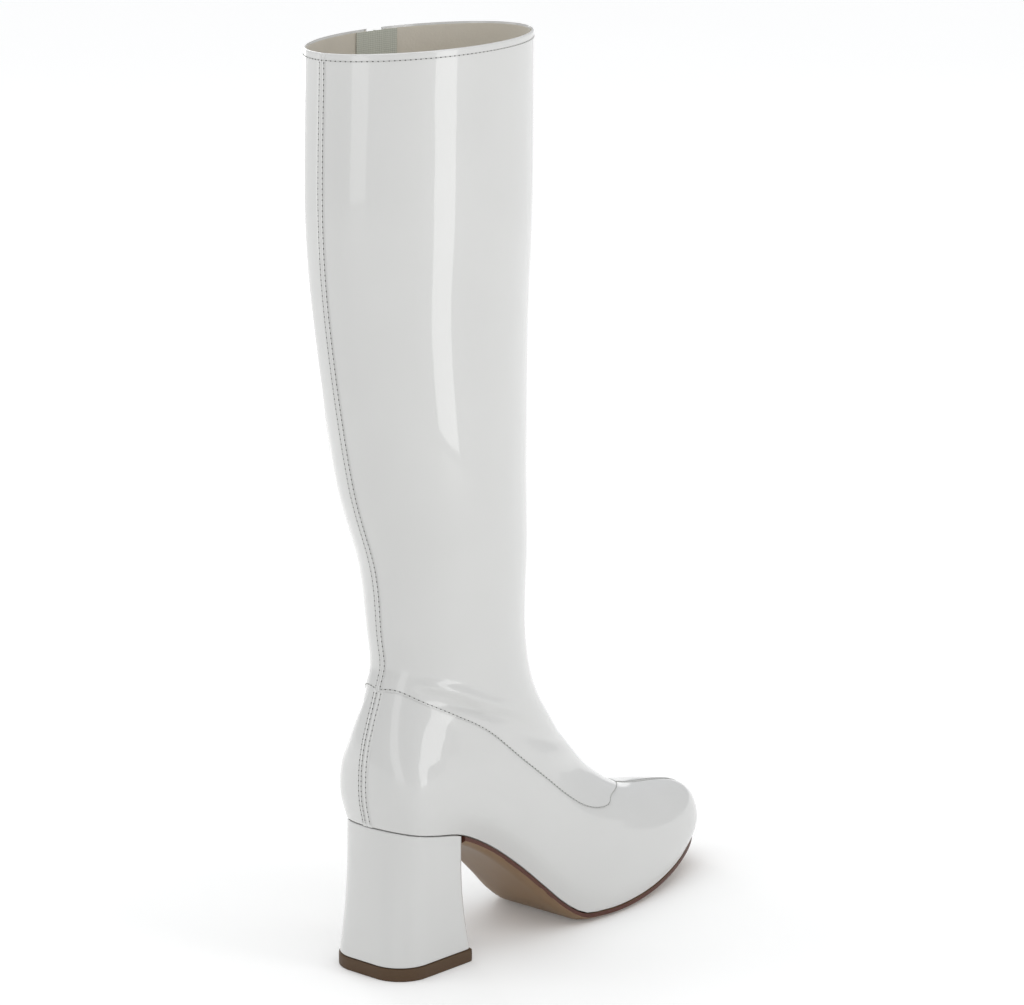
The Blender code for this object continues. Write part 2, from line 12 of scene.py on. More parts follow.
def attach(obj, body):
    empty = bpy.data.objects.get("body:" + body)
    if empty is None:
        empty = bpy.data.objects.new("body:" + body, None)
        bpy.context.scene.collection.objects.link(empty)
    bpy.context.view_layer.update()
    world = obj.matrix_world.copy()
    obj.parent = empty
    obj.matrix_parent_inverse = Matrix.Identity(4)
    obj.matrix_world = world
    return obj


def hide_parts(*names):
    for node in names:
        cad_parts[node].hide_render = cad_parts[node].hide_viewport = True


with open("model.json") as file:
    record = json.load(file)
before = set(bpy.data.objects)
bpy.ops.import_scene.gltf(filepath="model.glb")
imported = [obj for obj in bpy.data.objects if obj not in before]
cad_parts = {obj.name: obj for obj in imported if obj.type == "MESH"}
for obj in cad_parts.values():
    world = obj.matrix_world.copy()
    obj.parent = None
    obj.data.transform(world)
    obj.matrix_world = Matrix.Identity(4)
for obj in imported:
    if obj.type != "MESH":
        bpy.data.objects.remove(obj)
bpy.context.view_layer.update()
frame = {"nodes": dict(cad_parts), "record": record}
bpy.ops.object.select_all(action="DESELECT")
print("frame loaded")

# The boot's own sizes, the same as those of its solids
boot = {
    "height": 0.430,
    "heelHeight": 0.071,
    "footLength": 0.234,
    "ballWidth": 0.076,
    "ankleRise": 0.090,
    "calfDepth": 0.126,
    "calfWidth": 0.081,
    "wall": 0.0016,
    "fit": 0.0003,
    "heelLength": 0.0432,
    "heelFootLength": 0.0485,
    "heelFootWidth": 0.0492,
    "heelCorner": 0.0160,
    "heelFlareFront": 0.0016,
    "heelHollow": 0.0011,
    "liftThickness": 0.0060,
    "liftOverhang": 0.0005,
    "soleThickness": 0.0045,
    "treadFlat": 0.0005,
    "soleEdge": 0.0020,
    "toeSpring": 0.0146,
    "toeSwing": 0.0075,
    "zipOpening": 0.0088,
}
heelBreast = boot["heelFootLength"] / 2 - boot["heelFlareFront"]
heelBack = heelBreast - boot["heelLength"]
soleTop = boot["soleThickness"] - boot["treadFlat"] + boot["fit"]
ankleHeight = boot["heelHeight"] + boot["ankleRise"]
legLength = boot["height"] - ankleHeight
legAxis = heelBack + 0.233 * boot["footLength"]

# The line where upper and sole meet: place along the foot, share of the seat's height,
# share of the toe spring
featherLine = np.array([
    (-0.032, 1.024, 0), (0, 1, 0), (0.088, 0.930, 0), (0.185, 0.845, 0), (0.261, 0.704, 0), (0.329, 0.521, 0),
    (0.394, 0.317, 0), (0.450, 0.141, 0), (0.502, 0.028, 0), (0.560, 0, 0), (0.671, 0, 0), (0.811, 0, 0.26),
    (0.912, 0, 0.61), (0.996, 0, 1), (1.030, 0, 1.18),
])
# Foot: back, its height, front, its height, how far it bends with the feather line, then eight half widths
footSections = (
    (0, 0, 1, 0, 1, 0.86, 0.80, 0.505, 0.33, 0.325, 0.475, 0.545, 0.61),
    (-0.012, 0.15, 1.012, 0.060, 0.95, 0.88, 0.86, 0.580, 0.45, 0.390, 0.515, 0.585, 0.64),
    (-0.012, 0.30, 0.986, 0.136, 0.80, 0.84, 0.82, 0.590, 0.46, 0.400, 0.490, 0.545, 0.59),
    (-0.004, 0.425, 0.912, 0.175, 0.62, 0.74, 0.68, 0.540, 0.45, 0.390, 0.450, 0.475, 0.50),
    (0.010, 0.54, 0.765, 0.226, 0.45, 0.62, 0.57, 0.480, 0.42, 0.375, 0.400, 0.400, 0.415),
    (0.024, 0.64, 0.641, 0.344, 0.30, 0.51, 0.48, 0.430, 0.39, 0.363, 0.363, 0.363, 0.365),
    (0.036, 0.735, 0.537, 0.510, 0.18, 0.45, 0.43, 0.390, 0.37, 0.350, 0.350, 0.350, 0.355),
    (0.046, 0.835, 0.456, 0.704, 0.08, 0.41, 0.40, 0.375, 0.36, 0.350, 0.350, 0.350, 0.355),
)
# Leg: height, back, front, the front's height, then eight half widths
legSections = (
    (0, 0.363, 0.360, -0.040, 0.375, 0.365, 0.350, 0.345, 0.340, 0.338, 0.330, 0.330),
    (0.115, 0.392, 0.358, 0.115, 0.390, 0.395, 0.400, 0.400, 0.395, 0.385, 0.370, 0.365),
    (0.273, 0.504, 0.342, 0.273, 0.435, 0.440, 0.445, 0.445, 0.445, 0.435, 0.420, 0.415),
    (0.510, 0.600, 0.345, 0.510, 0.450, 0.455, 0.460, 0.465, 0.465, 0.465, 0.455, 0.440),
    (0.720, 0.640, 0.357, 0.720, 0.480, 0.485, 0.485, 0.495, 0.500, 0.500, 0.490, 0.475),
    (1, 0.625, 0.362, 1.012, 0.485, 0.490, 0.490, 0.495, 0.500, 0.500, 0.490, 0.480),
)
widthPlaces = (0, 0.1, 0.2, 0.3, 0.42, 0.6, 0.8, 1)
insideTrim = np.array((0, 0, 0, -0.04, -0.14, 0.02, -0.02, 0))
outsideTrim = np.array((0, 0, 0, 0.02, 0.10, 0, -0.06, 0))
swingStations = (0, 0.26, 0.50, 0.74, 1)
swingShares = (0, 0, 0.12, 0.62, 1)
zipSections = (0, 1, 4, 7, 9, 11, 13)
zipPlaces = (0.425, 0.425, 0.430, 0.482, 0.512, 0.553, 0.556)
zipFoot = 1.0  # the section at which the zip's slot ends
collar = 13.0  # the last section


def smoothCurve(places, values, x):
    places = np.asarray(places, float)
    values = np.asarray(values, float)
    x = np.asarray(x, float)
    steps = np.diff(places)
    shape = (-1,) + (1,) * (values.ndim - 1)
    slopes = np.diff(values, axis=0) / steps.reshape(shape)
    tangents = np.empty_like(values)
    left = steps[:-1].reshape(shape)
    right = steps[1:].reshape(shape)
    tangents[1:-1] = (slopes[:-1] * right + slopes[1:] * left) / (left + right)
    tangents[0] = slopes[0]
    tangents[-1] = slopes[-1]
    i = np.clip(np.searchsorted(places, x) - 1, 0, len(places) - 2)
    span = places[i + 1] - places[i]
    s = np.clip((x - places[i]) / span, 0, 1)
    if values.ndim > 1:
        s = s[..., None]
        span = span[..., None]
    near = (2 * s**3 - 3 * s**2 + 1) * values[i] + (s**3 - 2 * s**2 + s) * span * tangents[i]
    far = (3 * s**2 - 2 * s**3) * values[i + 1] + (s**3 - s**2) * span * tangents[i + 1]
    return near + far


def featherHeight(x):
    stations = heelBack + featherLine[:, 0] * boot["footLength"]
    seat = featherLine[:, 1] * (boot["heelHeight"] - soleTop)
    return smoothCurve(stations, soleTop + seat + featherLine[:, 2] * boot["toeSpring"], x)


def toeSwing(x):
    stations = heelBack + np.array(swingStations) * boot["footLength"]
    return smoothCurve(stations, np.array(swingShares) * boot["toeSwing"], x)


def sectionTable():
    rows = []
    toe = float(featherHeight(heelBack + boot["footLength"]))
    for back, backUp, front, frontUp, follow, *widths in footSections:
        rows.append([
            heelBack + back * boot["footLength"],
            boot["heelHeight"] + backUp * boot["ankleRise"],
            heelBack + front * boot["footLength"],
            toe + frontUp * (ankleHeight - toe),
            follow,
        ] + [w * boot["ballWidth"] for w in widths])
    for rise, back, front, frontRise, *widths in legSections:
        rows.append([
            legAxis - back * boot["calfDepth"],
            ankleHeight + rise * legLength,
            legAxis + front * boot["calfDepth"],
            ankleHeight + frontRise * legLength,
            0,
        ] + [w * boot["calfWidth"] for w in widths])
    return np.array(rows)


sections = sectionTable()


def sectionAt(v):
    return smoothCurve(np.arange(len(sections)), sections, v)


# A place on the upper: v counts sections from the sole up; q runs round it from the back (0) by the inside
# to the front (1) and by the outside to the back again (2)
def ringPoint(v, q):
    v, q = np.broadcast_arrays(np.asarray(v, float), np.asarray(q, float))
    q = np.mod(q, 2)
    outside = q > 1
    t = np.where(outside, 2 - q, q)
    row = sectionAt(v)
    backX, backZ, frontX, frontZ, follow = np.moveaxis(row[..., :5], -1, 0)
    share = (1 - np.cos(np.pi * t)) / 2
    x = backX + (frontX - backX) * share
    weights = smoothCurve(widthPlaces, np.eye(len(widthPlaces)), t)
    half = np.sin(np.pi * t) * (weights * row[..., 5:]).sum(-1)
    low = featherHeight(backX)
    high = featherHeight(frontX)
    z = backZ + (frontZ - backZ) * share + follow * (featherHeight(x) - low - (high - low) * share)
    trim = (weights * np.where(outside[..., None], outsideTrim, insideTrim)).sum(-1)
    y = toeSwing(x) * np.minimum(1, 1.5 * follow) + np.where(outside, -1, 1) * half * (1 + follow * trim)
    return np.stack([x, y, z], -1)


def unit(vectors):
    return vectors / np.maximum(np.linalg.norm(vectors, axis=-1, keepdims=True), 1e-12)


def ringNormal(v, q):
    v, q = np.broadcast_arrays(np.asarray(v, float), np.asarray(q, float))
    up = ringPoint(np.minimum(v + 0.02, collar), q) - ringPoint(np.maximum(v - 0.02, 0), q)
    along = ringPoint(v, q + 0.002) - ringPoint(v, q - 0.002)
    return unit(np.cross(up, along))


def metresPerSection(v, q):
    high = np.minimum(v + 0.05, collar)
    low = np.maximum(v - 0.05, 0)
    return np.linalg.norm(ringPoint(high, q) - ringPoint(low, q), axis=-1) / (high - low)


def zipPlace(v):
    return smoothCurve(zipSections, zipPlaces, v)


# How much q changes for a metre along the section, at the zip, the back seam and the front
def zipScale(v):
    row = sectionAt(v)
    return 1 / (np.pi / 2 * (row[..., 2] - row[..., 0]) * np.sin(np.pi * zipPlace(v)))


def backScale(v):
    return 1 / (np.pi * sectionAt(v)[..., 5])


def frontScale(v):
    return 1 / (np.pi * sectionAt(v)[..., 12])


def anchorPlace(anchor, offset, v):
    if anchor == "back":
        return offset * backScale(v)
    if anchor == "zipBack":
        return zipPlace(v) + (offset - boot["zipOpening"] / 2) * zipScale(v)
    if anchor == "zipFront":
        return zipPlace(v) + (offset + boot["zipOpening"] / 2) * zipScale(v)
    if anchor == "front":
        return 1 + offset * frontScale(v)
    return 2 + offset * backScale(v)  # the back again, from the outside


# The seam that joins shaft and foot, as places from the back (0) to the front (1) and sections
ankleSeam = {
    "places": (0, 0.08, 0.19, 0.30, 0.40, 0.445, 0.50, 0.565, 0.595, 0.63, 0.70, 0.80, 1.0),
    "sections": (5.66, 5.80, 5.55, 5.22, 4.78, 4.28, 3.92, 3.56, 3.46, 3.52, 3.86, 4.10, 4.20),
    "lapOver": 0.00030,  # the shaft's edge stands proud of the foot
    "lapUnder": 0.00018,
    "fade": 0.010,
    "step": 0.00016,  # the width over which the shaft's side takes over from the foot's
}


def seamSection(q):
    q = np.mod(q, 2)
    return smoothCurve(ankleSeam["places"], ankleSeam["sections"], np.where(q > 1, 2 - q, q))


def fallOff(distance, width):
    return np.exp(-(distance / width) ** 2)


def step01(x):
    x = np.clip(x, 0, 1)
    return x * x * (3 - 2 * x)


def roundedEdge(distance, radius):
    d = np.clip(distance, 0, radius)
    return radius - np.sqrt(radius**2 - (radius - d) ** 2)


# Soft folds where the ankle bends: places from the back to the front, sections, the valley's depth and
# width, and the lift of the swell above it
creases = (
    {"places": (0.15, 0.23, 0.31, 0.40), "sections": (5.98, 6.10, 6.12, 6.08),
     "depth": 0.0010, "width": 0.0018, "lift": 0.0011},
    {"places": (0.17, 0.25, 0.335, 0.42, 0.56), "sections": (5.86, 5.76, 5.78, 5.80, 6.00),
     "depth": 0.0014, "width": 0.0022, "lift": 0.0013},
    {"places": (0.42, 0.55, 0.70, 0.85), "sections": (5.45, 5.62, 5.75, 5.80),
     "depth": 0.0011, "width": 0.0060, "lift": 0.0006},
    {"places": (0.55, 0.70, 0.85, 0.97), "sections": (4.78, 4.95, 5.02, 5.05),
     "depth": 0.0004, "width": 0.0060, "lift": 0.0003},
)
creaseShape = {
    "steps": 70,
    "sections": (4, 8),  # between which the creases can reach
    "swellAway": 2.0,  # the swell above each valley, in widths of the valley
    "swellWidth": 1.3,
    "outside": 1.0,
    "inside": 0.55,  # weaker, as the zip holds the leather
}


def creaseOffset(points, v, q):
    outside = np.mod(q, 2) > 1
    total = np.zeros(points.shape[:-1])
    low, high = creaseShape["sections"]
    for crease in creases:
        places = np.linspace(crease["places"][0], crease["places"][-1], creaseShape["steps"])
        rise = smoothCurve(crease["places"], crease["sections"], places)
        taper = np.sin(np.pi * np.linspace(0, 1, creaseShape["steps"]))
        for side in ("outside", "inside"):
            line = ringPoint(rise, 2 - places if side == "outside" else places)
            near = (outside == (side == "outside")) & (v > low) & (v < high)
            if not near.any():
                continue
            spots = points[near]
            gaps = np.linalg.norm(spots[:, None] - line[None], axis=-1)
            best = gaps.argmin(1)
            gap = gaps[np.arange(len(spots)), best]
            above = np.sign(spots[:, 2] - line[best, 2])
            width = crease["width"]
            valley = -crease["depth"] * fallOff(gap, width)
            swell = fallOff(gap - creaseShape["swellAway"] * width, creaseShape["swellWidth"] * width)
            swell = crease["lift"] * swell * (above > 0)
            total[near] += creaseShape[side] * taper[best] * (valley + swell)
    return total


# What stands proud of the plain skin or is pressed into it
relief = {
    "backSeamHalf": 0.0017,
    "backSeamRise": 0.0005,
    "counterStripHalf": 0.0030,
    "counterStripRise": 0.0005,
    "edgeRadius": 0.0008,
    "rimRadius": 0.0006,
    "toeGrooveDepth": 0.0004,
    "toeGrooveWidth": 0.0006,
    "frontSeamDepth": 0.0004,
    "frontSeamWidth": 0.0004,
    "frontSeamFade": 0.06,  # in sections
    "stripBevel": 0.0005,
    "backGrooveDepth": 0.0003,
    "backGrooveWidth": 0.00035,
    "waveHeight": 0.00022,
    "waveLength": 0.045,
    "waveStretch": 0.45,
    "waveStart": 3.7,
    "waveFade": 0.004,
}


def waves(points):
    flat = points.reshape(-1, 3) / relief["waveLength"]
    flat[:, 2] = flat[:, 2] * relief["waveStretch"] + relief["waveStart"]
    values = [noise.noise(Vector(point)) for point in flat]
    return np.array(values).reshape(points.shape[:-1]) * relief["waveHeight"]


def skinOffset(v, q):
    v, q = np.broadcast_arrays(np.asarray(v, float), np.asarray(q, float))
    points = ringPoint(v, q)
    perSection = metresPerSection(v, q)
    ring = np.mod(q, 2)
    t = np.where(ring > 1, 2 - ring, ring)
    aboveSeam = (v - seamSection(q)) * perSection
    onShaft = step01(aboveSeam / ankleSeam["step"] + 0.5)
    lap = np.where(aboveSeam > 0, ankleSeam["lapOver"], -ankleSeam["lapUnder"])
    lap = lap * fallOff(aboveSeam, ankleSeam["fade"])
    fromBack = t / backScale(v)
    half = np.where(aboveSeam > 0, relief["backSeamHalf"], relief["counterStripHalf"])
    rise = np.where(aboveSeam > 0, relief["backSeamRise"], relief["counterStripRise"])
    strip = rise * (1 - step01((fromBack - half + relief["stripBevel"]) / relief["stripBevel"]))
    groove = relief["backGrooveDepth"] * fallOff(fromBack, relief["backGrooveWidth"])
    toZipBack = np.abs(ring - anchorPlace("zipBack", 0, v)) / zipScale(v)
    toZipFront = np.abs(ring - anchorPlace("zipFront", 0, v)) / zipScale(v)
    toFoot = (v - zipFoot) * perSection
    inSlot = (ring > anchorPlace("zipBack", 0, v)) & (ring < anchorPlace("zipFront", 0, v))
    edge = np.where(v >= zipFoot, np.minimum(toZipBack, toZipFront), 1.0)  # how far the next cut edge is
    edge = np.where(inSlot & (v < zipFoot), -toFoot, edge)
    edge = np.minimum(edge, (collar - v) * perSection)
    offset = lap + strip - groove - roundedEdge(edge, relief["edgeRadius"])
    offset = offset - roundedEdge(v * perSection, relief["rimRadius"])
    toFront = np.abs(ring - 1) / frontScale(v)
    offset = offset - relief["toeGrooveDepth"] * fallOff(toFront, relief["toeGrooveWidth"]) * (1 - onShaft)
    below = step01((zipFoot - v) / relief["frontSeamFade"])
    offset = offset - relief["frontSeamDepth"] * fallOff(toZipFront, relief["frontSeamWidth"]) * below
    return offset + creaseOffset(points, v, q) + waves(points) * step01(edge / relief["waveFade"])


def skinPoint(v, q):
    normal = ringNormal(v, q)
    return ringPoint(v, q) + normal * skinOffset(v, q)[..., None], normal


# Node helper and colours
def hexColor(code):
    values = [int(code[i:i + 2], 16) / 255 for i in (1, 3, 5)]
    return [c / 12.92 if c <= 0.04045 else ((c + 0.055) / 1.055) ** 2.4 for c in values] + [1]


def addNode(tree, kind, inputs=None, **settings):
    made = tree.nodes.new(kind)
    for name, value in settings.items():
        setattr(made, name, value)
    for key, value in (inputs or {}).items():
        if isinstance(value, bpy.types.NodeSocket):
            tree.links.new(value, made.inputs[key])
        else:
            made.inputs[key].default_value = value
    return made


def newMaterial(name, inputs):
    material = bpy.data.materials.new(name)
    material.use_nodes = True
    shader = material.node_tree.nodes["Principled BSDF"]
    for key, value in inputs.items():
        shader.inputs[key].default_value = value
    return material, material.node_tree, shader


# A finish in two close colours that run into each other. mottle holds the patches' size and detail, grain
# those of what the light catches, with its strength and depth.
def mottledMaterial(name, inputs, colours, mottle, grain=None, stretch=(1, 1, 1)):
    material, tree, shader = newMaterial(name, inputs)
    coords = addNode(tree, "ShaderNodeTexCoord")
    place = addNode(tree, "ShaderNodeMapping", {"Vector": coords.outputs["Object"], "Scale": stretch})
    patches = addNode(tree, "ShaderNodeTexNoise", {
        "Vector": place.outputs["Vector"], "Scale": 1 / mottle[0], "Detail": mottle[1],
    })
    tint = addNode(tree, "ShaderNodeMix", {
        "Factor": patches.outputs["Fac"], "A": hexColor(colours[0]), "B": hexColor(colours[1]),
    }, data_type="RGBA")
    tree.links.new(tint.outputs["Result"], shader.inputs["Base Color"])
    if grain:
        rough = addNode(tree, "ShaderNodeTexNoise", {
            "Vector": place.outputs["Vector"], "Scale": 1 / grain[0], "Detail": grain[1],
        })
        bump = addNode(tree, "ShaderNodeBump", {
            "Height": rough.outputs["Fac"], "Strength": grain[2], "Distance": grain[3],
        })
        tree.links.new(bump.outputs["Normal"], shader.inputs["Normal"])
    return material


# What more nodes are added to: the material's tree, its shader and its coordinates
def openMaterial(material):
    nodes = material.node_tree.nodes
    return material.node_tree, nodes["Principled BSDF"], nodes["Texture Coordinate"]


# Patent leather: split leather under a thick clear film, cast smooth; deep gloss over a soft white
patent = {
    "colours": ("#CBCBC9", "#C4C4C2"),
    "cloudSize": 0.0625,
    "waveSize": 0.030,
    "peelSize": 0.0022,
}
patentLeather = mottledMaterial("patentLeatherWhite", {
    "Roughness": 0.38, "IOR": 1.5, "Coat Weight": 1.0, "Coat Roughness": 0.035, "Coat IOR": 1.52,
}, patent["colours"], (patent["cloudSize"], 2.0))
tree, shader, coords = openMaterial(patentLeather)
wave = addNode(tree, "ShaderNodeTexNoise", {
    "Vector": coords.outputs["Object"], "Scale": 1 / patent["waveSize"], "Detail": 1.0, "Roughness": 0.4,
})
waveBump = addNode(tree, "ShaderNodeBump", {
    "Height": wave.outputs["Fac"], "Strength": 0.10, "Distance": 0.0015,
})
peel = addNode(tree, "ShaderNodeTexNoise", {
    "Vector": coords.outputs["Object"], "Scale": 1 / patent["peelSize"], "Detail": 2.0,
})
peelBump = addNode(tree, "ShaderNodeBump", {
    "Height": peel.outputs["Fac"], "Strength": 0.05, "Distance": 0.00003,
    "Normal": waveBump.outputs["Normal"],
})
tree.links.new(waveBump.outputs["Normal"], shader.inputs["Coat Normal"])
tree.links.new(peelBump.outputs["Normal"], shader.inputs["Normal"])

# Lining: brushed synthetic suede, matt, with a short uneven nap
liningSuede = mottledMaterial("liningSuede", {
    "Roughness": 0.85, "Sheen Weight": 0.25, "Sheen Roughness": 0.5,
}, ("#D8D2C6", "#CBC4B6"), (0.020, 2.0), grain=(0.0012, 4.0, 0.5, 0.0002))

# Thread: bonded polyester, slightly waxy, a touch greyer than the patent
threadPolyester = mottledMaterial(
    "threadPolyester", {"Roughness": 0.55}, ("#C4C5C1", "#ABACA8"), (0.0006, 1.0),
)

# Needle holes: a dark matt dot at each hole, painted shade where the thread sinks into the leather
needleHoleShade = mottledMaterial("needleHoleShade", {"Roughness": 0.9}, ("#4C4C4A", "#3B3B3A"), (0.0005, 1.0))

print("materials for the upper made")


# The upper's skin: columns stand at fixed distances from the seams and the slot, rows follow the ankle
# seam; a whole number is that many lines at even steps
skin = {
    "nearBack": (0, 0.0004, 0.0008, 0.0012, 0.00145, 0.0017, 0.0020, 0.0025, 0.0028, 0.0031, 0.0038),
    "nearEdge": (0, 0.0001, 0.00025, 0.0005, 0.0008, 0.0014, 0.0022),
    "nearFront": (0.0003, 0.0006, 0.0010, 0.0016, 0.0030),
    "nearRim": (0, 0.0001, 0.0003, 0.0006, 0.0010, 0.0014, 0.0022),
    "nearSeam": (0.00006, 0.0002, 0.0006, 0.0014, 0.0028, 0.0050),
}


# Lines at these distances on one side of an anchor, in rising order
def linesAt(anchor, distances, side=1):
    return [(anchor, side * distance) for distance in distances[::side]]


skinColumns = [
    *linesAt("back", skin["nearBack"]), 17,
    *linesAt("zipBack", skin["nearEdge"], -1), 4,
    *linesAt("zipFront", skin["nearEdge"]), 23,
    *linesAt("front", skin["nearFront"], -1), ("front", 0), *linesAt("front", skin["nearFront"]), 58,
    *linesAt("backAgain", skin["nearBack"], -1),
]
skinRows = [
    *linesAt("rim", skin["nearRim"]), 6,
    *linesAt("foot", skin["nearEdge"][:-1], -1), 27,
    *linesAt("seam", skin["nearSeam"], -1), *linesAt("seam", skin["nearSeam"]), 84,
    *linesAt("collar", skin["nearEdge"], -1),
]


def rowSection(anchor, offset, q, v):
    shift = offset / metresPerSection(v, q)
    if anchor == "rim":
        return 0 + shift
    if anchor == "foot":
        return zipFoot + shift
    if anchor == "seam":
        return seamSection(q) + shift
    return collar + shift


def spreadBetween(stops, place):
    lines = []
    for i, stop in enumerate(stops):
        if isinstance(stop, int):
            before = place(*stops[i - 1])
            after = place(*stops[i + 1])
            for k in range(1, stop + 1):
                lines.append(before + (after - before) * k / (stop + 1))
        else:
            lines.append(place(*stop))
    return lines


def lineNames(stops):
    names = []
    for stop in stops:
        names += [None] * stop if isinstance(stop, int) else [stop]
    return names


columnNames = lineNames(skinColumns)
rowNames = lineNames(skinRows)
columnCount = len(columnNames)
rowCount = len(rowNames)
v = np.repeat(np.linspace(0, collar, rowCount)[:, None], columnCount, 1)
q = np.repeat(np.linspace(0, 2, columnCount)[None], rowCount, 0)
for settle in range(6):  # rows need the columns' places and columns the rows'
    columnLines = spreadBetween(skinColumns, lambda anchor, offset: anchorPlace(anchor, offset, v))
    q = np.stack([line[:, i] for i, line in enumerate(columnLines)], 1)
    rowLines = spreadBetween(skinRows, lambda anchor, offset: rowSection(anchor, offset, q, v))
    v = np.stack([line[i] for i, line in enumerate(rowLines)], 0)
v = np.clip(v, 0, collar)
skinPoints = skinPoint(v, q)[0]


# How far along a run of points each point lies
def runLengths(points):
    return np.concatenate([[0], np.cumsum(np.linalg.norm(np.diff(points, axis=0), axis=1))])


def readAlong(values, lengths, spots):
    return np.stack([np.interp(spots, lengths, values[:, k]) for k in range(3)], 1)


def newGrid(name, columns, rows):
    bpy.ops.mesh.primitive_grid_add(x_subdivisions=columns - 1, y_subdivisions=rows - 1, size=1)
    piece = bpy.context.object
    piece.name = name
    piece.data.name = name
    flat = np.empty(len(piece.data.vertices) * 3)
    piece.data.vertices.foreach_get("co", flat)
    flat = flat.reshape(-1, 3)
    column = np.rint((flat[:, 0] + 0.5) * (columns - 1)).astype(int)
    row = np.rint((flat[:, 1] + 0.5) * (rows - 1)).astype(int)
    return piece, column, row


mergeGap = 0.00001  # points nearer than this are one


def placeGrid(piece, points):
    piece.data.vertices.foreach_set("co", np.ascontiguousarray(points, float).ravel())
    piece.data.update()


def useMaterials(piece, *materials):
    piece.data.materials.clear()
    for material in materials:
        piece.data.materials.append(material)


def newPiece(name, points, faces):
    mesh = bpy.data.meshes.new(name)
    mesh.from_pydata(np.concatenate(points).tolist(), [], faces)
    piece = bpy.data.objects.new(name, mesh)
    bpy.context.scene.collection.objects.link(piece)
    return piece


# Leaves the active piece in object mode with no face selected, ready for its faces to be picked
def pickNone():
    bpy.ops.object.mode_set(mode="EDIT")
    bpy.ops.mesh.select_mode(type="FACE")
    bpy.ops.mesh.select_all(action="DESELECT")
    bpy.ops.object.mode_set(mode="OBJECT")


def addWall(piece, thickness):
    wall = piece.modifiers.new("wall", "SOLIDIFY")
    wall.thickness = thickness
    wall.offset = -1
    return wall


def addRounding(piece, width, segments, angle=None):
    rounding = piece.modifiers.new("rounding", "BEVEL")
    rounding.width = width
    rounding.segments = segments
    rounding.limit_method = "ANGLE" if angle else "NONE"
    if angle:
        rounding.angle_limit = math.radians(angle)


def applyModifiers(piece):
    bpy.context.view_layer.objects.active = piece
    for modifier in list(piece.modifiers):
        bpy.ops.object.modifier_apply(modifier=modifier.name)


def finish(piece, body, sharp=None):
    bpy.ops.object.select_all(action="DESELECT")
    piece.select_set(True)
    bpy.context.view_layer.objects.active = piece
    bpy.ops.object.transform_apply(location=True, rotation=True, scale=True)
    if sharp is None:
        bpy.ops.object.shade_smooth()
    else:
        bpy.ops.object.shade_smooth_by_angle(angle=math.radians(sharp))
    piece.select_set(False)
    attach(piece, body)


upper, column, row = newGrid("upperSkin", columnCount, rowCount)
column = columnCount - 1 - column  # turned over, so that the faces look outwards
placeGrid(upper, skinPoints[row, column])
slotBack = columnNames.index(("zipBack", 0))
slotFront = columnNames.index(("zipFront", 0))
slotRow = rowNames.index(("foot", 0))
pickNone()
for face in upper.data.polygons:
    corners = list(face.vertices)
    inColumns = column[corners].min() >= slotBack and column[corners].max() <= slotFront
    face.select = bool(inColumns and row[corners].min() >= slotRow)
bpy.ops.object.mode_set(mode="EDIT")
bpy.ops.mesh.delete(type="FACE")
bpy.ops.mesh.select_all(action="SELECT")
bpy.ops.mesh.remove_doubles(threshold=mergeGap)
bpy.ops.object.mode_set(mode="OBJECT")
useMaterials(upper, patentLeather, liningSuede)
addWall(upper, boot["wall"]).material_offset = 1
applyModifiers(upper)
finish(upper, "boot", sharp=50)
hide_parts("upper")
print("upper skin made,", len(upper.data.polygons), "faces")


# Stitches: one thread bump and behind it a dark dot of painted shade for its needle hole, copied along each
# row
stitch = {
    "pitch": 0.0024,
    "length": 0.0014,
    "thickness": 0.00046,
    "stand": 0.12,  # how far the thread's middle stands proud, as a share of its thickness
    "holeShadeDot": (0.0011, 0.00054, 0.00024),  # along the row, across it, and up
    "holeShadeStand": 0.00003,
}


def makeStitch():
    bpy.ops.mesh.primitive_uv_sphere_add(segments=6, ring_count=5, radius=0.5)
    thread = bpy.context.object
    thread.scale = (stitch["thickness"], stitch["thickness"], stitch["length"])
    thread.rotation_euler = (0, math.pi / 2, 0)
    thread.location = (-(stitch["pitch"] - stitch["length"]) / 2, 0, stitch["thickness"] * stitch["stand"])
    useMaterials(thread, threadPolyester, needleHoleShade)
    # The needle hole: a flat dark dot of painted shade, standing just proud of the skin
    bpy.ops.mesh.primitive_uv_sphere_add(segments=6, ring_count=3, radius=0.5)
    holeShadeDot = bpy.context.object
    holeShadeDot.scale = stitch["holeShadeDot"]
    holeShadeDot.location = (stitch["length"] / 2, 0, stitch["holeShadeStand"])
    useMaterials(holeShadeDot, threadPolyester, needleHoleShade)
    for face in holeShadeDot.data.polygons:
        face.material_index = 1
    thread.select_set(True)
    bpy.context.view_layer.objects.active = thread
    bpy.ops.object.join()
    bpy.ops.object.transform_apply(location=True, rotation=True, scale=True)
    thread.select_set(False)
    return thread


# Points and normals at even steps along a path of sections and ring places
def evenPath(v, q):
    points, normals = skinPoint(v, q)
    lengths = runLengths(points)
    count = max(2, int(lengths[-1] / stitch["pitch"]))
    spots = (np.arange(count) + 0.5) * lengths[-1] / count
    even = readAlong(points, lengths, spots)
    facing = unit(readAlong(normals, lengths, spots))
    heading = unit(np.gradient(even, axis=0))
    return even, facing, heading


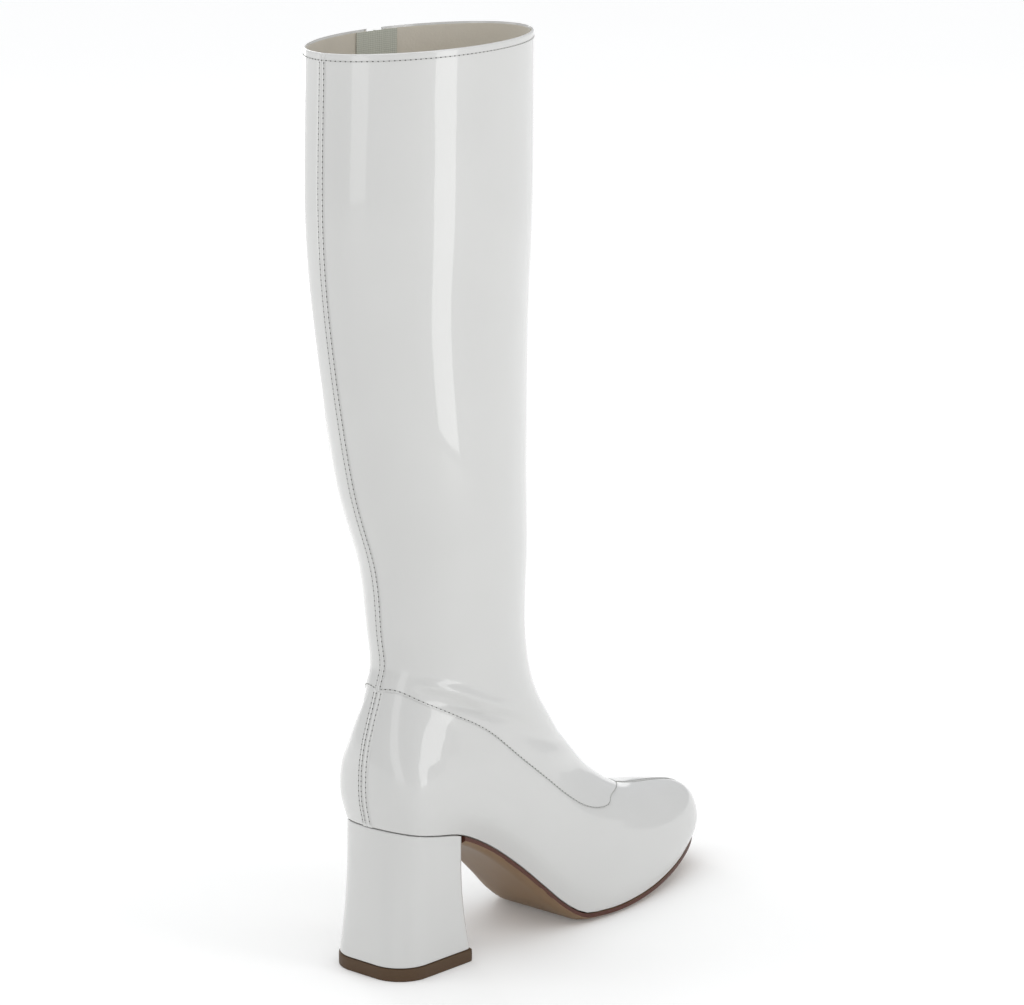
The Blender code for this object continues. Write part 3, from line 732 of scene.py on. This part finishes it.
def stitchRow(name, paths, base):
    vertexCount = len(base.data.vertices)
    flat = np.empty(vertexCount * 3)
    base.data.vertices.foreach_get("co", flat)
    flat = flat.reshape(-1, 3)
    # Sorted, because a sphere's faces come in another order each time
    faces = sorted((list(face.vertices), face.material_index) for face in base.data.polygons)
    allPoints = []
    allFaces = []
    allTints = []
    for v, q in paths:
        even, facing, heading = evenPath(v, q)
        for point, up, ahead in zip(even, facing, heading):
            across = np.cross(up, ahead)
            across = across / np.linalg.norm(across)
            ahead = np.cross(across, up)
            start = len(allPoints) * vertexCount
            allPoints.append(point + flat[:, :1] * ahead + flat[:, 1:2] * across + flat[:, 2:] * up)
            allFaces += [[i + start for i in face] for face, tint in faces]
            allTints += [tint for face, tint in faces]
    row = newPiece(name, allPoints, allFaces)
    useMaterials(row, threadPolyester, needleHoleShade)
    row.data.polygons.foreach_set("material_index", allTints)
    finish(row, "boot")


def along(first, last, place, count=160):
    sectionsAlong = np.linspace(first, last, count)
    return sectionsAlong, place(sectionsAlong)


# Where each row of stitches runs: distances from its seam or slot, then the sections and places at
# which rows begin and end
seams = {
    "backShaft": 0.0013,
    "backCounter": (-0.0022, 0.0006, 0.0022),
    "aboveAnkleSeam": 0.0009,
    "zipRows": (0.0018, 0.0052),
    "sideSeamTop": 0.0190,
    "sideSeamFoot": 0.0140,
    "topline": 0.0032,
    "toeRow": 0.0011,
    "zipClear": 0.0072,
    "seamGap": 0.06,
    "collarGap": 0.05,
    "backFoot": 0.12,
    "zipFoot": 0.10,
    "toe": (0.14, 4.1),
    "ankleBack": 0.012,
    "ankleAtZip": (4.7, 4.6),  # the sections where the ankle seam meets the zip, behind it and in front
    "sideFoot": 5.0,
    "sideGap": 0.02,
    "slotGap": 0.001,
}
lastStitch = collar - seams["collarGap"]
baseStitch = makeStitch()
backSeam = float(seamSection(0.0))
stitchRow("stitchesBackShaft", [
    along(backSeam + seams["seamGap"], lastStitch, lambda v, s=s: anchorPlace("back", s, v))
    for s in (-seams["backShaft"], seams["backShaft"])
], baseStitch)
stitchRow("stitchesBackCounter", [
    along(seams["backFoot"], backSeam - seams["seamGap"], lambda v, s=s: anchorPlace("back", s, v))
    for s in seams["backCounter"]
], baseStitch)
backOfZip = float(anchorPlace("zipBack", -seams["zipClear"], seams["ankleAtZip"][0]))
frontOfZip = float(anchorPlace("zipFront", seams["zipClear"], seams["ankleAtZip"][1]))
anklePaths = []
for first, last in ((seams["ankleBack"], backOfZip), (frontOfZip, 2 - seams["ankleBack"])):
    places = np.linspace(first, last, 300)
    rise = seamSection(places)
    anklePaths.append((rise + seams["aboveAnkleSeam"] / metresPerSection(rise, places), places))
stitchRow("stitchesAnkleSeam", anklePaths, baseStitch)
stitchRow("stitchesToeSeam", [
    along(*seams["toe"], lambda v, s=s: anchorPlace("front", s, v))
    for s in (-seams["toeRow"], seams["toeRow"])
], baseStitch)


# The share of a section that a distance up the zip is, at section v
def zipSteps(distance, v):
    return distance / float(metresPerSection(v, zipPlace(v)))


# The zip's rows run down behind the slot and round under it; those in front of it go on to the sole
def zipRow(distance):
    down = np.linspace(lastStitch, zipFoot, 260)
    foot = zipFoot - zipSteps(distance, zipFoot)
    left = anchorPlace("zipBack", -distance, down)
    corner = anchorPlace("zipBack", -distance, foot)
    end = anchorPlace("zipFront", 0.0, foot)
    v = np.concatenate([down, np.linspace(zipFoot, foot, 12)[1:], np.full(20, foot)])
    q = np.concatenate([left, np.linspace(left[-1], corner, 12)[1:], np.linspace(corner, end, 20)])
    return v, q


stitchRow("stitchesZipBack", [zipRow(d) for d in seams["zipRows"]], baseStitch)
stitchRow("stitchesZipFront", [
    along(seams["zipFoot"], lastStitch, lambda v, d=d: anchorPlace("zipFront", d, v), 260)
    for d in seams["zipRows"]
], baseStitch)


def sideSeamPlace(v):
    up = (v - seams["sideFoot"]) / (collar - seams["sideFoot"])
    distance = seams["sideSeamFoot"] + (seams["sideSeamTop"] - seams["sideSeamFoot"]) * up
    return anchorPlace("zipBack", -distance, v)


stitchRow("stitchesSideSeam", [
    along(seams["sideFoot"] + seams["sideGap"], lastStitch, sideSeamPlace),
], baseStitch)
first = float(anchorPlace("zipFront", seams["slotGap"], collar))
last = 2 + float(anchorPlace("zipBack", -seams["slotGap"], collar))
places = np.linspace(first, last, 400)
rise = collar - seams["topline"] / metresPerSection(collar, places)
stitchRow("stitchesTopline", [(rise, places)], baseStitch)
bpy.data.objects.remove(baseStitch, do_unlink=True)
print("stitches made")


# Closes the open ends of a tube of rings
def capEnds(piece):
    bpy.ops.object.select_all(action="DESELECT")
    piece.select_set(True)
    bpy.context.view_layer.objects.active = piece
    bpy.ops.object.mode_set(mode="EDIT")
    bpy.ops.mesh.select_mode(type="EDGE")
    bpy.ops.mesh.select_all(action="SELECT")
    bpy.ops.mesh.remove_doubles(threshold=mergeGap)
    bpy.ops.mesh.select_all(action="DESELECT")
    bpy.ops.mesh.select_non_manifold()
    bpy.ops.mesh.fill_holes(sides=0)
    bpy.ops.mesh.select_all(action="SELECT")
    bpy.ops.mesh.normals_make_consistent(inside=False)
    bpy.ops.object.mode_set(mode="OBJECT")


# A tube whose rows are rings of points
def ringTube(name, rings):
    rings = np.asarray(rings, float)
    piece, column, row = newGrid(name, rings.shape[1] + 1, rings.shape[0])
    closed = np.concatenate([rings, rings[:, :1]], 1)
    placeGrid(piece, closed[row, column])
    capEnds(piece)
    return piece


# One half of the heel's outline, from the middle of the back to the breast, as even steps
def evenHalf(points, count):
    lengths = runLengths(points)
    return readAlong(points, lengths, np.linspace(0, lengths[-1], count))


heel = {
    "curveSteps": 80,
    "turnSteps": 40,
    "halfSteps": 40,
    "breastSteps": 14,
    "layers": 40,
    "breastRound": 0.0022,
    "topRound": 0.0005,
    "footRound": 0.0006,
    "cornerSpan": 7,  # points on each side of a corner that rounding can move
    "cornerPull": 0.59,
}


def placeAt(x):
    return np.arccos(1 - 2 * (x - heelBack) / boot["footLength"]) / np.pi


def heelTopHalf(outside):
    last = float(placeAt(heelBreast))
    places = np.linspace(0, last, heel["curveSteps"])
    points = ringPoint(0.0, 2 - places if outside else places)
    points[:, 2] -= boot["fit"]
    return evenHalf(points, heel["halfSteps"])


def heelFootHalf(outside, grow, z):
    side = -1 if outside else 1
    half = boot["heelFootWidth"] / 2 + grow
    radius = boot["heelCorner"] + grow
    front = boot["heelFootLength"] / 2 + grow
    turn = np.linspace(0, np.pi / 2, heel["turnSteps"])
    x = np.concatenate([[-front], -front + radius * (1 - np.cos(turn)), [front]])
    y = np.concatenate([[0], half - radius * (1 - np.sin(turn)), [half]])
    return evenHalf(np.stack([x, side * y, np.full(len(x), z)], 1), heel["halfSteps"])


def heelRing(outsideHalf, insideHalf):
    breast = np.linspace(outsideHalf[-1], insideHalf[-1], heel["breastSteps"])[1:-1]
    return np.concatenate([outsideHalf, breast, insideHalf[:0:-1]])


# Rounds a ring's corners by pulling them in, the more the nearer a point is to the corner
def softenCorners(ring, corners, reach):
    softened = ring.copy()
    count = len(ring)
    span = heel["cornerSpan"]
    for corner in corners:
        centre = ring[corner]
        near = ring[(corner - span) % count] - centre
        far = ring[(corner + span) % count] - centre
        inwards = near / np.linalg.norm(near) + far / np.linalg.norm(far)
        for k in range(-span, span + 1):
            i = (corner + k) % count
            gap = np.linalg.norm(ring[i] - centre)
            if gap < reach:
                softened[i] = ring[i] + inwards / 2 * reach * heel["cornerPull"] * (1 - gap / reach) ** 2
    return softened


topRing = heelRing(heelTopHalf(True), heelTopHalf(False))
footZ = boot["liftThickness"] + boot["fit"]
footRing = heelRing(heelFootHalf(True, 0, footZ), heelFootHalf(False, 0, footZ))
heelCorners = (heel["halfSteps"] - 1, heel["halfSteps"] + heel["breastSteps"] - 2)
heelRings = []
downs = [0, 0.004, 0.010, 0.018, 0.03, *np.linspace(0.05, 0.98, heel["layers"]), 0.99, 0.996, 1]
for down in downs:
    shrink = 1 - 2 * boot["heelHollow"] / boot["heelFootWidth"] * math.sin(math.pi * down)
    ring = topRing + (footRing - topRing) * down
    ring = ring * np.array((shrink, shrink, 1))
    ring = softenCorners(ring, heelCorners, heel["breastRound"] * 2)
    fromTop = down * (boot["heelHeight"] - footZ)
    fromFoot = (1 - down) * (boot["heelHeight"] - footZ)
    tuck = float(roundedEdge(fromTop, heel["topRound"]) + roundedEdge(fromFoot, heel["footRound"]))
    middle = 0.5 * (ring[:, :2].max(0) + ring[:, :2].min(0))
    away = ring[:, :2] - middle
    ring[:, :2] = middle + away * (1 - tuck / np.linalg.norm(away, axis=1, keepdims=True))
    heelRings.append(ring)
heelCover = ringTube("heelCover", heelRings)
useMaterials(heelCover, patentLeather)
finish(heelCover, "boot", sharp=50)
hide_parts("heel_block")

# Heel lift: moulded rubber, cut and ground at its edge; matt dark brown with fine grinding lines
liftRubber = mottledMaterial(
    "liftRubber", {"Roughness": 0.62, "IOR": 1.5}, ("#523A1E", "#402C16"), (0.0020, 4.0),
    grain=(0.0020, 4.0, 0.25, 0.0001), stretch=(1, 1, 9),
)

# Each ring of the lift: height and how far its edge is rounded in
lift = {
    "rings": (
        (0, 0.0005), (0.0001, 0.00025), (0.0003, 0.00008), (0.0006, 0), (0.0025, 0), (0.0046, 0),
        (0.0055, 0.00004), (0.0058, 0.0002), (0.0060, 0.0005),
    ),
    "breastRound": 0.0030,
}
liftRings = []
for rise, inset in lift["rings"]:
    grow = boot["liftOverhang"] - inset
    ring = heelRing(heelFootHalf(True, grow, rise), heelFootHalf(False, grow, rise))
    liftRings.append(softenCorners(ring, heelCorners, lift["breastRound"]))
heelLift = ringTube("heelLift", liftRings)
useMaterials(heelLift, liftRubber)
finish(heelLift, "boot", sharp=50)
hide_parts("heel_top_lift")
print("heel made")


# Outsole: leather-board look in cast resin, satin tan below
soleUnderside = mottledMaterial(
    "soleUnderside", {"Roughness": 0.46, "IOR": 1.5}, ("#866A4B", "#72583B"), (0.030, 3.0),
    grain=(0.0016, 5.0, 0.20, 0.0001),
)

# Edge paint: brushed on by hand, red-brown
soleEdgePaint = mottledMaterial(
    "soleEdgePaint", {"Roughness": 0.5, "IOR": 1.5}, ("#52240F", "#421B0B"), (0.0030, 3.0),
    grain=(0.0030, 3.0, 0.15, 0.00008),
)

sole = {
    "ribs": 110,
    "strips": 18,
    "edgeRounding": 6,
    "belly": 1.25,
    "edgeBevel": 0.0004,
    "steep": 0.62,  # faces whose normals rise less than this are painted
}


def soleBottom(top, share):
    belly = np.minimum(1, sole["belly"] * (1 - np.abs(share) ** sole["edgeRounding"]))
    return np.maximum(0, top - boot["soleEdge"] - (boot["soleThickness"] - boot["soleEdge"]) * belly)


firstPlace = float(placeAt(heelBreast + boot["fit"]))
places = firstPlace + (1 - firstPlace) * np.sin(np.linspace(0, np.pi / 2, sole["ribs"]))
shares = -np.cos(np.pi * np.arange(sole["strips"] + 1) / sole["strips"])
soleRings = []
for place in places:
    outer = ringPoint(0.0, 2 - place)
    inner = ringPoint(0.0, place)
    top = outer + (inner - outer) * ((shares[:, None] + 1) / 2)
    top[:, 2] -= boot["fit"]
    bottom = top.copy()
    bottom[:, 2] = soleBottom(top[:, 2], shares)
    soleRings.append(np.concatenate([top, bottom[::-1]]))
outsole = ringTube("outsoleMoulded", soleRings)
useMaterials(outsole, soleUnderside, soleEdgePaint)
addRounding(outsole, sole["edgeBevel"], 2, angle=50)
applyModifiers(outsole)
for face in outsole.data.polygons:
    if abs(face.normal.z) < sole["steep"]:
        face.material_index = 1
finish(outsole, "boot", sharp=40)
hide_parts("outsole")

useMaterials(frame["nodes"]["insole"], liningSuede)
print("sole made")


# Zip tape: warp-knitted polyester, greenish grey-white, with fine ribs along it and painted shade in the
# grooves between them
tapeWeave, tree, shader = newMaterial("tapeWeave", {"Roughness": 0.78, "Sheen Weight": 0.15})
lengthwise = addNode(tree, "ShaderNodeUVMap", uv_map="weave")
split = addNode(tree, "ShaderNodeSeparateXYZ", {"Vector": lengthwise.outputs["UV"]})
sines = []
for axis, spacing in (("X", 0.0011), ("Y", 0.0009)):  # between ribs, between courses
    turns = addNode(tree, "ShaderNodeMath", {
        0: split.outputs[axis], 1: 2 * math.pi / spacing,
    }, operation="MULTIPLY")
    sines.append(addNode(tree, "ShaderNodeMath", {0: turns.outputs["Value"]}, operation="SINE"))
weave = addNode(tree, "ShaderNodeMath", {
    0: sines[0].outputs["Value"], 1: sines[1].outputs["Value"],
}, operation="ADD")
ribHeightAndShade = addNode(tree, "ShaderNodeMapRange", {
    "Value": weave.outputs["Value"], "From Min": -2.0, "From Max": 2.0, "To Min": 0.0, "To Max": 1.0,
})
# The colour follows the ribs' height: darker in the grooves and lighter on the crests, painted shade between
# the ribs
tint = addNode(tree, "ShaderNodeMix", {
    "Factor": ribHeightAndShade.outputs["Result"], "A": hexColor("#AEB1A5"), "B": hexColor("#CBCDC3"),
}, data_type="RGBA")
bump = addNode(tree, "ShaderNodeBump", {
    "Height": ribHeightAndShade.outputs["Result"], "Strength": 0.5, "Distance": 0.0002,
})
tree.links.new(tint.outputs["Result"], shader.inputs["Base Color"])
tree.links.new(bump.outputs["Normal"], shader.inputs["Normal"])

# Coil: nylon monofilament, satin, in the tape's colour
coilNylon = mottledMaterial(
    "coilNylon", {"Roughness": 0.42, "IOR": 1.53}, ("#C6C8BE", "#B0B2A7"), (0.0010, 2.0),
)

zipper = {
    "tapeWidth": 0.0240,
    "tapeThickness": 0.0007,
    "tail": 0.0080,
    "endMargin": 0.0010,
    "toothPitch": 0.0016,
    "toothWidth": 0.0026,
    "toothThickness": 0.0007,
    "toothRise": 0.0005,  # from the leather's inner face out to the coil's middle
    "toothSide": 0.00075,
    "toothLean": 0.28,  # the sine of the angle at which a tooth lies
    "toothBevel": 0.0002,
    "tapeRows": 170,
    "tapeGap": 0.00005,
    "tapeTrim": 0.0001,  # left off its thickness, as the ribs stand proud
    "ribShare": 0.8,  # of the profile's heights
    "chainSteps": 400,
    "chainRise": 0.0006,
    "profile": (0, -0.00010, 0, 0.00012, 0, -0.00008, 0.00016, 0, -0.00012, 0.0002, 0.0003, 0.0002,
                -0.00012, 0, 0.00016, -0.00008, 0, 0.00012, 0, -0.00010, 0),
}


def zipSurface(v, offset, depth):
    q = zipPlace(v) + offset * zipScale(v)
    return ringPoint(v, q) - ringNormal(v, q) * np.asarray(depth)[..., None]


tapeColumns = len(zipper["profile"])
tapeRows = zipper["tapeRows"]
firstSection = zipFoot - zipSteps(zipper["tail"], zipFoot)
lastSection = collar - zipSteps(zipper["endMargin"], collar)
zipTape, column, row = newGrid("zipTape", tapeColumns, tapeRows)
tapeV = np.linspace(firstSection, lastSection, tapeRows)[row]
tapeOffset = zipper["tapeWidth"] * ((tapeColumns - 1 - column) / (tapeColumns - 1) - 0.5)
ribs = np.array(zipper["profile"])[column] * zipper["ribShare"]
tapeDepth = boot["wall"] + boot["fit"] + zipper["tapeGap"] - ribs
placeGrid(zipTape, zipSurface(tapeV, tapeOffset, tapeDepth))
weaveMap = zipTape.data.uv_layers.new(name="weave")
tapeLine = zipSurface(np.linspace(firstSection, lastSection, tapeRows), 0.0, np.zeros(tapeRows))
tapeLengths = runLengths(tapeLine)
for loop in zipTape.data.loops:
    corner = loop.vertex_index
    weaveMap.data[loop.index].uv = (tapeOffset[corner], tapeLengths[row[corner]])
useMaterials(zipTape, tapeWeave)
addWall(zipTape, zipper["tapeThickness"] - zipper["tapeTrim"])
applyModifiers(zipTape)
finish(zipTape, "boot", sharp=50)
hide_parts("zip_tape")

# Coil teeth: two rows of loops that mesh down the middle
bpy.ops.mesh.primitive_cylinder_add(vertices=8, radius=0.5, depth=1)
tooth = bpy.context.object
tooth.scale = (zipper["toothThickness"], zipper["toothThickness"], zipper["toothWidth"])
tooth.rotation_euler = (math.pi / 2, 0, 0)
bpy.ops.object.transform_apply(location=True, rotation=True, scale=True)
addRounding(tooth, zipper["toothBevel"], 1, angle=30)
applyModifiers(tooth)
flat = np.array([list(vertex.co) for vertex in tooth.data.vertices])
toothFaces = [list(face.vertices) for face in tooth.data.polygons]
chainStart = zipFoot + zipSteps(zipper["endMargin"], zipFoot)
chainV = np.linspace(chainStart, lastSection, zipper["chainSteps"])
chainLine = zipSurface(chainV, 0.0, np.full(zipper["chainSteps"], boot["wall"] - zipper["chainRise"]))
chainLengths = runLengths(chainLine)
count = int(chainLengths[-1] / (zipper["toothPitch"] / 2))
spots = np.interp((np.arange(count) + 0.5) * chainLengths[-1] / count, chainLengths, chainV)
points = []
faces = []
for i, spot in enumerate(spots):
    side = 1 if i % 2 else -1
    offset = side * zipper["toothSide"]
    centre = zipSurface(np.array(spot), offset, np.array(boot["wall"] - zipper["toothRise"]))
    normal = ringNormal(spot, zipPlace(spot) + offset * zipScale(spot))
    near = zipSurface(np.array([spot - 0.02, spot + 0.02]), offset, np.zeros(2))
    ahead = (near[1] - near[0]) / np.linalg.norm(near[1] - near[0])
    sideways = np.cross(normal, ahead)
    tilt = ahead * math.sqrt(1 - zipper["toothLean"] ** 2) + sideways * zipper["toothLean"] * side
    cross = np.cross(normal, tilt)
    start = len(points) * len(flat)
    points.append(centre + flat[:, :1] * tilt + flat[:, 1:2] * cross + flat[:, 2:] * normal)
    faces += [[k + start for k in face] for face in toothFaces]
zipCoil = newPiece("zipCoil", points, faces)
useMaterials(zipCoil, coilNylon)
finish(zipCoil, "boot", sharp=40)
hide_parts("zip_chain")
bpy.data.objects.remove(tooth, do_unlink=True)
print("zip made,", count, "teeth")


# Slider and pull: die-cast zinc, nickel plated; bright with softly rounded edges
platedZinc = mottledMaterial("platedZinc", {"Metallic": 1.0}, ("#C9C8C4", "#BDBCB8"), (0.0012, 3.0))
tree, shader, coords = openMaterial(platedZinc)
polish = addNode(tree, "ShaderNodeTexNoise", {
    "Vector": coords.outputs["Object"], "Scale": 1 / 0.0012, "Detail": 3.0,
})
gloss = addNode(tree, "ShaderNodeMapRange", {"Value": polish.outputs["Fac"], "To Min": 0.16, "To Max": 0.30})
tree.links.new(gloss.outputs["Result"], shader.inputs["Roughness"])

joints = frame["record"]["behaviour"]["joints"]
pullJoint = next(joint for joint in joints if joint["name"] == "zip_pull_swing")
# Sizes of blocks are across the zip, out from the boot and up; places are measured from the pin, the
# plate's parts from the plate's middle
slider = {
    "stand": 0.0030,  # from the plate's middle out to the pin
    "earGap": 0.0037,
    "pin": 0.0007,
    "pinEnds": 0.0020,  # in the ears, both together
    "plate": {"size": (0.0080, 0.0012, 0.0130), "rounding": 0.0005, "foot": 0.72},
    "crown": {"size": (0.0080, 0.0018, 0.0030), "place": (0, -0.0004, 0.0048), "rounding": 0.0006},
    "ear": {"size": (0.00185, 0.0046, 0.0042), "out": -0.0005, "rounding": 0.0008},
    "flange": {"size": (0.0007, 0.0019, 0.0105), "place": (0.0034, -0.0003, 0.0008), "rounding": 0.0003},
}
pull = {
    "width": 0.0062,
    "thickness": 0.0014,
    "length": 0.0259,
    "narrow": 0.72,  # its width at the eye's end, as a share
    "rounding": 0.0003,
    "panelEdge": 0.0012,
    "panelDepth": 0.0003,
    "neckWidth": 0.0031,
    "neckOverlap": 0.0012,
    "neckRounding": 0.0004,
    "eye": 0.0021,
    "eyeShare": 0.8,  # of the eye's radius, where the neck begins
    "eyeRing": 0.00155,
    "eyeWire": 0.00055,
}


def makeBlock(size, place, rounding, narrow=(1.0, 1.0), angle=None):
    bpy.ops.mesh.primitive_cube_add(size=1)
    block = bpy.context.object
    block.scale = size
    bpy.ops.object.transform_apply(location=False, rotation=False, scale=True)
    for vertex in block.data.vertices:
        vertex.co.x *= narrow[0] if vertex.co.z < 0 else narrow[1]
    block.location = place
    addRounding(block, rounding, 3, angle)
    return block


# Joins metal parts that were made round the pin and turns them into their place on the boot
def placeMetal(parts, name, body):
    bpy.ops.object.select_all(action="DESELECT")
    for part in parts:
        applyModifiers(part)
    for part in parts:
        part.select_set(True)
    bpy.context.view_layer.objects.active = parts[0]
    bpy.ops.object.join()
    piece = bpy.context.object
    piece.name = name
    piece.data.name = name
    across = Vector(pullJoint["axis"]).normalized()
    out = Vector((0, 0, 1)).cross(across)
    turn = Matrix((across, out, Vector((0, 0, 1)))).transposed().to_4x4()
    bpy.ops.object.transform_apply(location=True, rotation=True, scale=True)
    piece.matrix_world = Matrix.Translation(Vector(pullJoint["pos_m"])) @ turn
    useMaterials(piece, platedZinc)
    finish(piece, body, sharp=40)
    return piece


plate = slider["plate"]
crown = slider["crown"]
ear = slider["ear"]
flange = slider["flange"]
plateMiddle = Vector((0, -slider["stand"], 0))
parts = [
    makeBlock(plate["size"], plateMiddle, plate["rounding"], (plate["foot"], 1.0)),
    makeBlock(crown["size"], plateMiddle + Vector(crown["place"]), crown["rounding"]),
]
for side in (-1, 1):
    earPlace = (side * (slider["earGap"] + ear["size"][0]) / 2, ear["out"], 0)
    parts.append(makeBlock(ear["size"], earPlace, ear["rounding"]))
    flangePlace = plateMiddle + Vector((side, 1, 1)) * Vector(flange["place"])
    parts.append(makeBlock(flange["size"], flangePlace, flange["rounding"]))
pinLength = slider["earGap"] + slider["pinEnds"]
bpy.ops.mesh.primitive_cylinder_add(vertices=24, radius=slider["pin"], depth=pinLength)
pin = bpy.context.object
pin.rotation_euler = (0, math.pi / 2, 0)
parts.append(pin)
zipSlider = placeMetal(parts, "zipSlider", "boot")
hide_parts("zip_slider")

tabTop = -(2 * pull["eye"] + boot["fit"])
tabSize = (pull["width"], pull["thickness"], pull["length"])
tabPlace = (0, 0, tabTop - pull["length"] / 2)
tab = makeBlock(tabSize, tabPlace, pull["rounding"], (1.0, pull["narrow"]), angle=30)
bpy.context.view_layer.objects.active = tab
pickNone()
for face in tab.data.polygons:
    face.select = abs(face.normal.y) > 0.9
bpy.ops.object.mode_set(mode="EDIT")
bpy.ops.mesh.inset(thickness=pull["panelEdge"], depth=-pull["panelDepth"], use_individual=True)
bpy.ops.object.mode_set(mode="OBJECT")
neckTop = -pull["eye"] * pull["eyeShare"]
neckLength = neckTop - tabTop + pull["neckOverlap"]
neckSize = (pull["neckWidth"], pull["thickness"], neckLength)
neck = makeBlock(neckSize, (0, 0, neckTop - neckLength / 2), pull["neckRounding"])
bpy.ops.mesh.primitive_torus_add(
    major_radius=pull["eyeRing"], minor_radius=pull["eyeWire"], major_segments=32, minor_segments=12,
)
eye = bpy.context.object
eye.scale = (1, 1, pull["neckWidth"] / (2 * pull["eyeWire"]))
eye.rotation_euler = (0, math.pi / 2, 0)
zipPull = placeMetal([tab, neck, eye], "zipPull", "zip_pull")
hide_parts("zip_pull")
print("slider and pull made")


# Floor, light and camera
stage = {
    "floor": ("#F6F6F5", "#F3F3F2"),
    "sky": "#F7F8FA",
    "skyStrength": 0.66,
    "azimuth": -48.0,
    "elevation": 13.2,
    "distance": 1.88,
    "margin": 1.07,
    "middle": 0.06,  # of the boot, along X, for the lights
    "sensor": 36,
    "picture": (1024, 1005),  # only its shape is used
    "panels": {  # azimuth, distance, bottom, width, height, power
        "softboxSide": (11, 0.72, 0.02, 0.20, 1.10, 1.5),
        "softboxCamera": (-62, 2.3, 0.02, 0.90, 1.80, 5.5),
        "softboxBack": (-135, 1.3, 0.02, 0.45, 1.50, 2.5),
        "softboxInside": (158, 0.90, 0.02, 0.30, 1.30, 1.9),
    },
    "topHeight": 2.2,
    "topWidth": 2.2,
    "topPower": 18,
}
floorPaint = mottledMaterial("floorPaint", {
    "Roughness": 0.7, "Specular IOR Level": 0.2, "Emission Color": (1, 1, 1, 1),
}, stage["floor"], (1 / 1.5, 2.0))
tree, shader, coords = openMaterial(floorPaint)
# The floor gives off more light of its own away from the boot, so that it stays white
away = addNode(tree, "ShaderNodeVectorMath", {0: coords.outputs["Object"]}, operation="LENGTH")
glow = addNode(tree, "ShaderNodeMapRange", {
    "Value": away.outputs["Value"], "From Min": 0.25, "From Max": 1.6, "To Min": 0.08, "To Max": 0.40,
})
tree.links.new(glow.outputs["Result"], shader.inputs["Emission Strength"])
bpy.ops.mesh.primitive_plane_add(size=60, location=(0, 0, 0))
floor = bpy.context.object
floor.name = "floor"
useMaterials(floor, floorPaint)

world = bpy.data.worlds.new("studio")
bpy.context.scene.world = world
world.use_nodes = True
sky = world.node_tree.nodes["Background"]
sky.inputs["Color"].default_value = hexColor(stage["sky"])
sky.inputs["Strength"].default_value = stage["skyStrength"]
bpy.context.scene.view_settings.view_transform = "Standard"


# A softbox that stands upright at an azimuth and distance from the boot and faces it
def addPanel(name, azimuth, distance, bottom, width, height, power):
    az = math.radians(azimuth)
    away = Vector((math.sin(az), -math.cos(az), 0))
    place = Vector((stage["middle"], 0, bottom + height / 2)) + away * distance
    bpy.ops.object.light_add(type="AREA", location=place)
    panel = bpy.context.object
    panel.name = name
    panel.data.shape = "RECTANGLE"
    panel.data.size = width
    panel.data.size_y = height
    panel.data.energy = power
    panel.rotation_euler = away.to_track_quat("Z", "Y").to_euler()


for name, sizes in stage["panels"].items():
    addPanel(name, *sizes)
bpy.ops.object.light_add(type="AREA", location=(stage["middle"], 0, stage["topHeight"]))
topPanel = bpy.context.object
topPanel.name = "softboxTop"
topPanel.data.size = stage["topWidth"]
topPanel.data.energy = stage["topPower"]

az = math.radians(stage["azimuth"])
el = math.radians(stage["elevation"])
toCamera = Vector((math.sin(az) * math.cos(el), -math.cos(az) * math.cos(el), math.sin(el)))
right = Vector((math.cos(az), math.sin(az), 0))
up = toCamera.cross(right)
corners = [skinPoints.reshape(-1, 3), np.concatenate(liftRings), np.concatenate(soleRings)]
cloudOfPoints = np.concatenate(corners)
across = cloudOfPoints @ np.array(right)
rise = cloudOfPoints @ np.array(up)
depth = cloudOfPoints @ np.array(toCamera)
aim = right * float((across.max() + across.min()) / 2) + up * float((rise.max() + rise.min()) / 2)
aim += toCamera * float((depth.max() + depth.min()) / 2)
wide = stage["picture"][0] / stage["picture"][1]
reach = float(max((across.max() - across.min()) / wide, rise.max() - rise.min())) * stage["margin"]
lens = stage["sensor"] / (reach * wide) * stage["distance"]
bpy.ops.object.camera_add(location=aim + toCamera * stage["distance"])
camera = bpy.context.object
camera.rotation_euler = toCamera.to_track_quat("Z", "Y").to_euler()
camera.data.lens = lens
camera.data.sensor_width = stage["sensor"]
camera.data.clip_start = 0.05
camera.data.clip_end = 50
bpy.context.scene.camera = camera
print("stage set, lens", round(lens, 1))
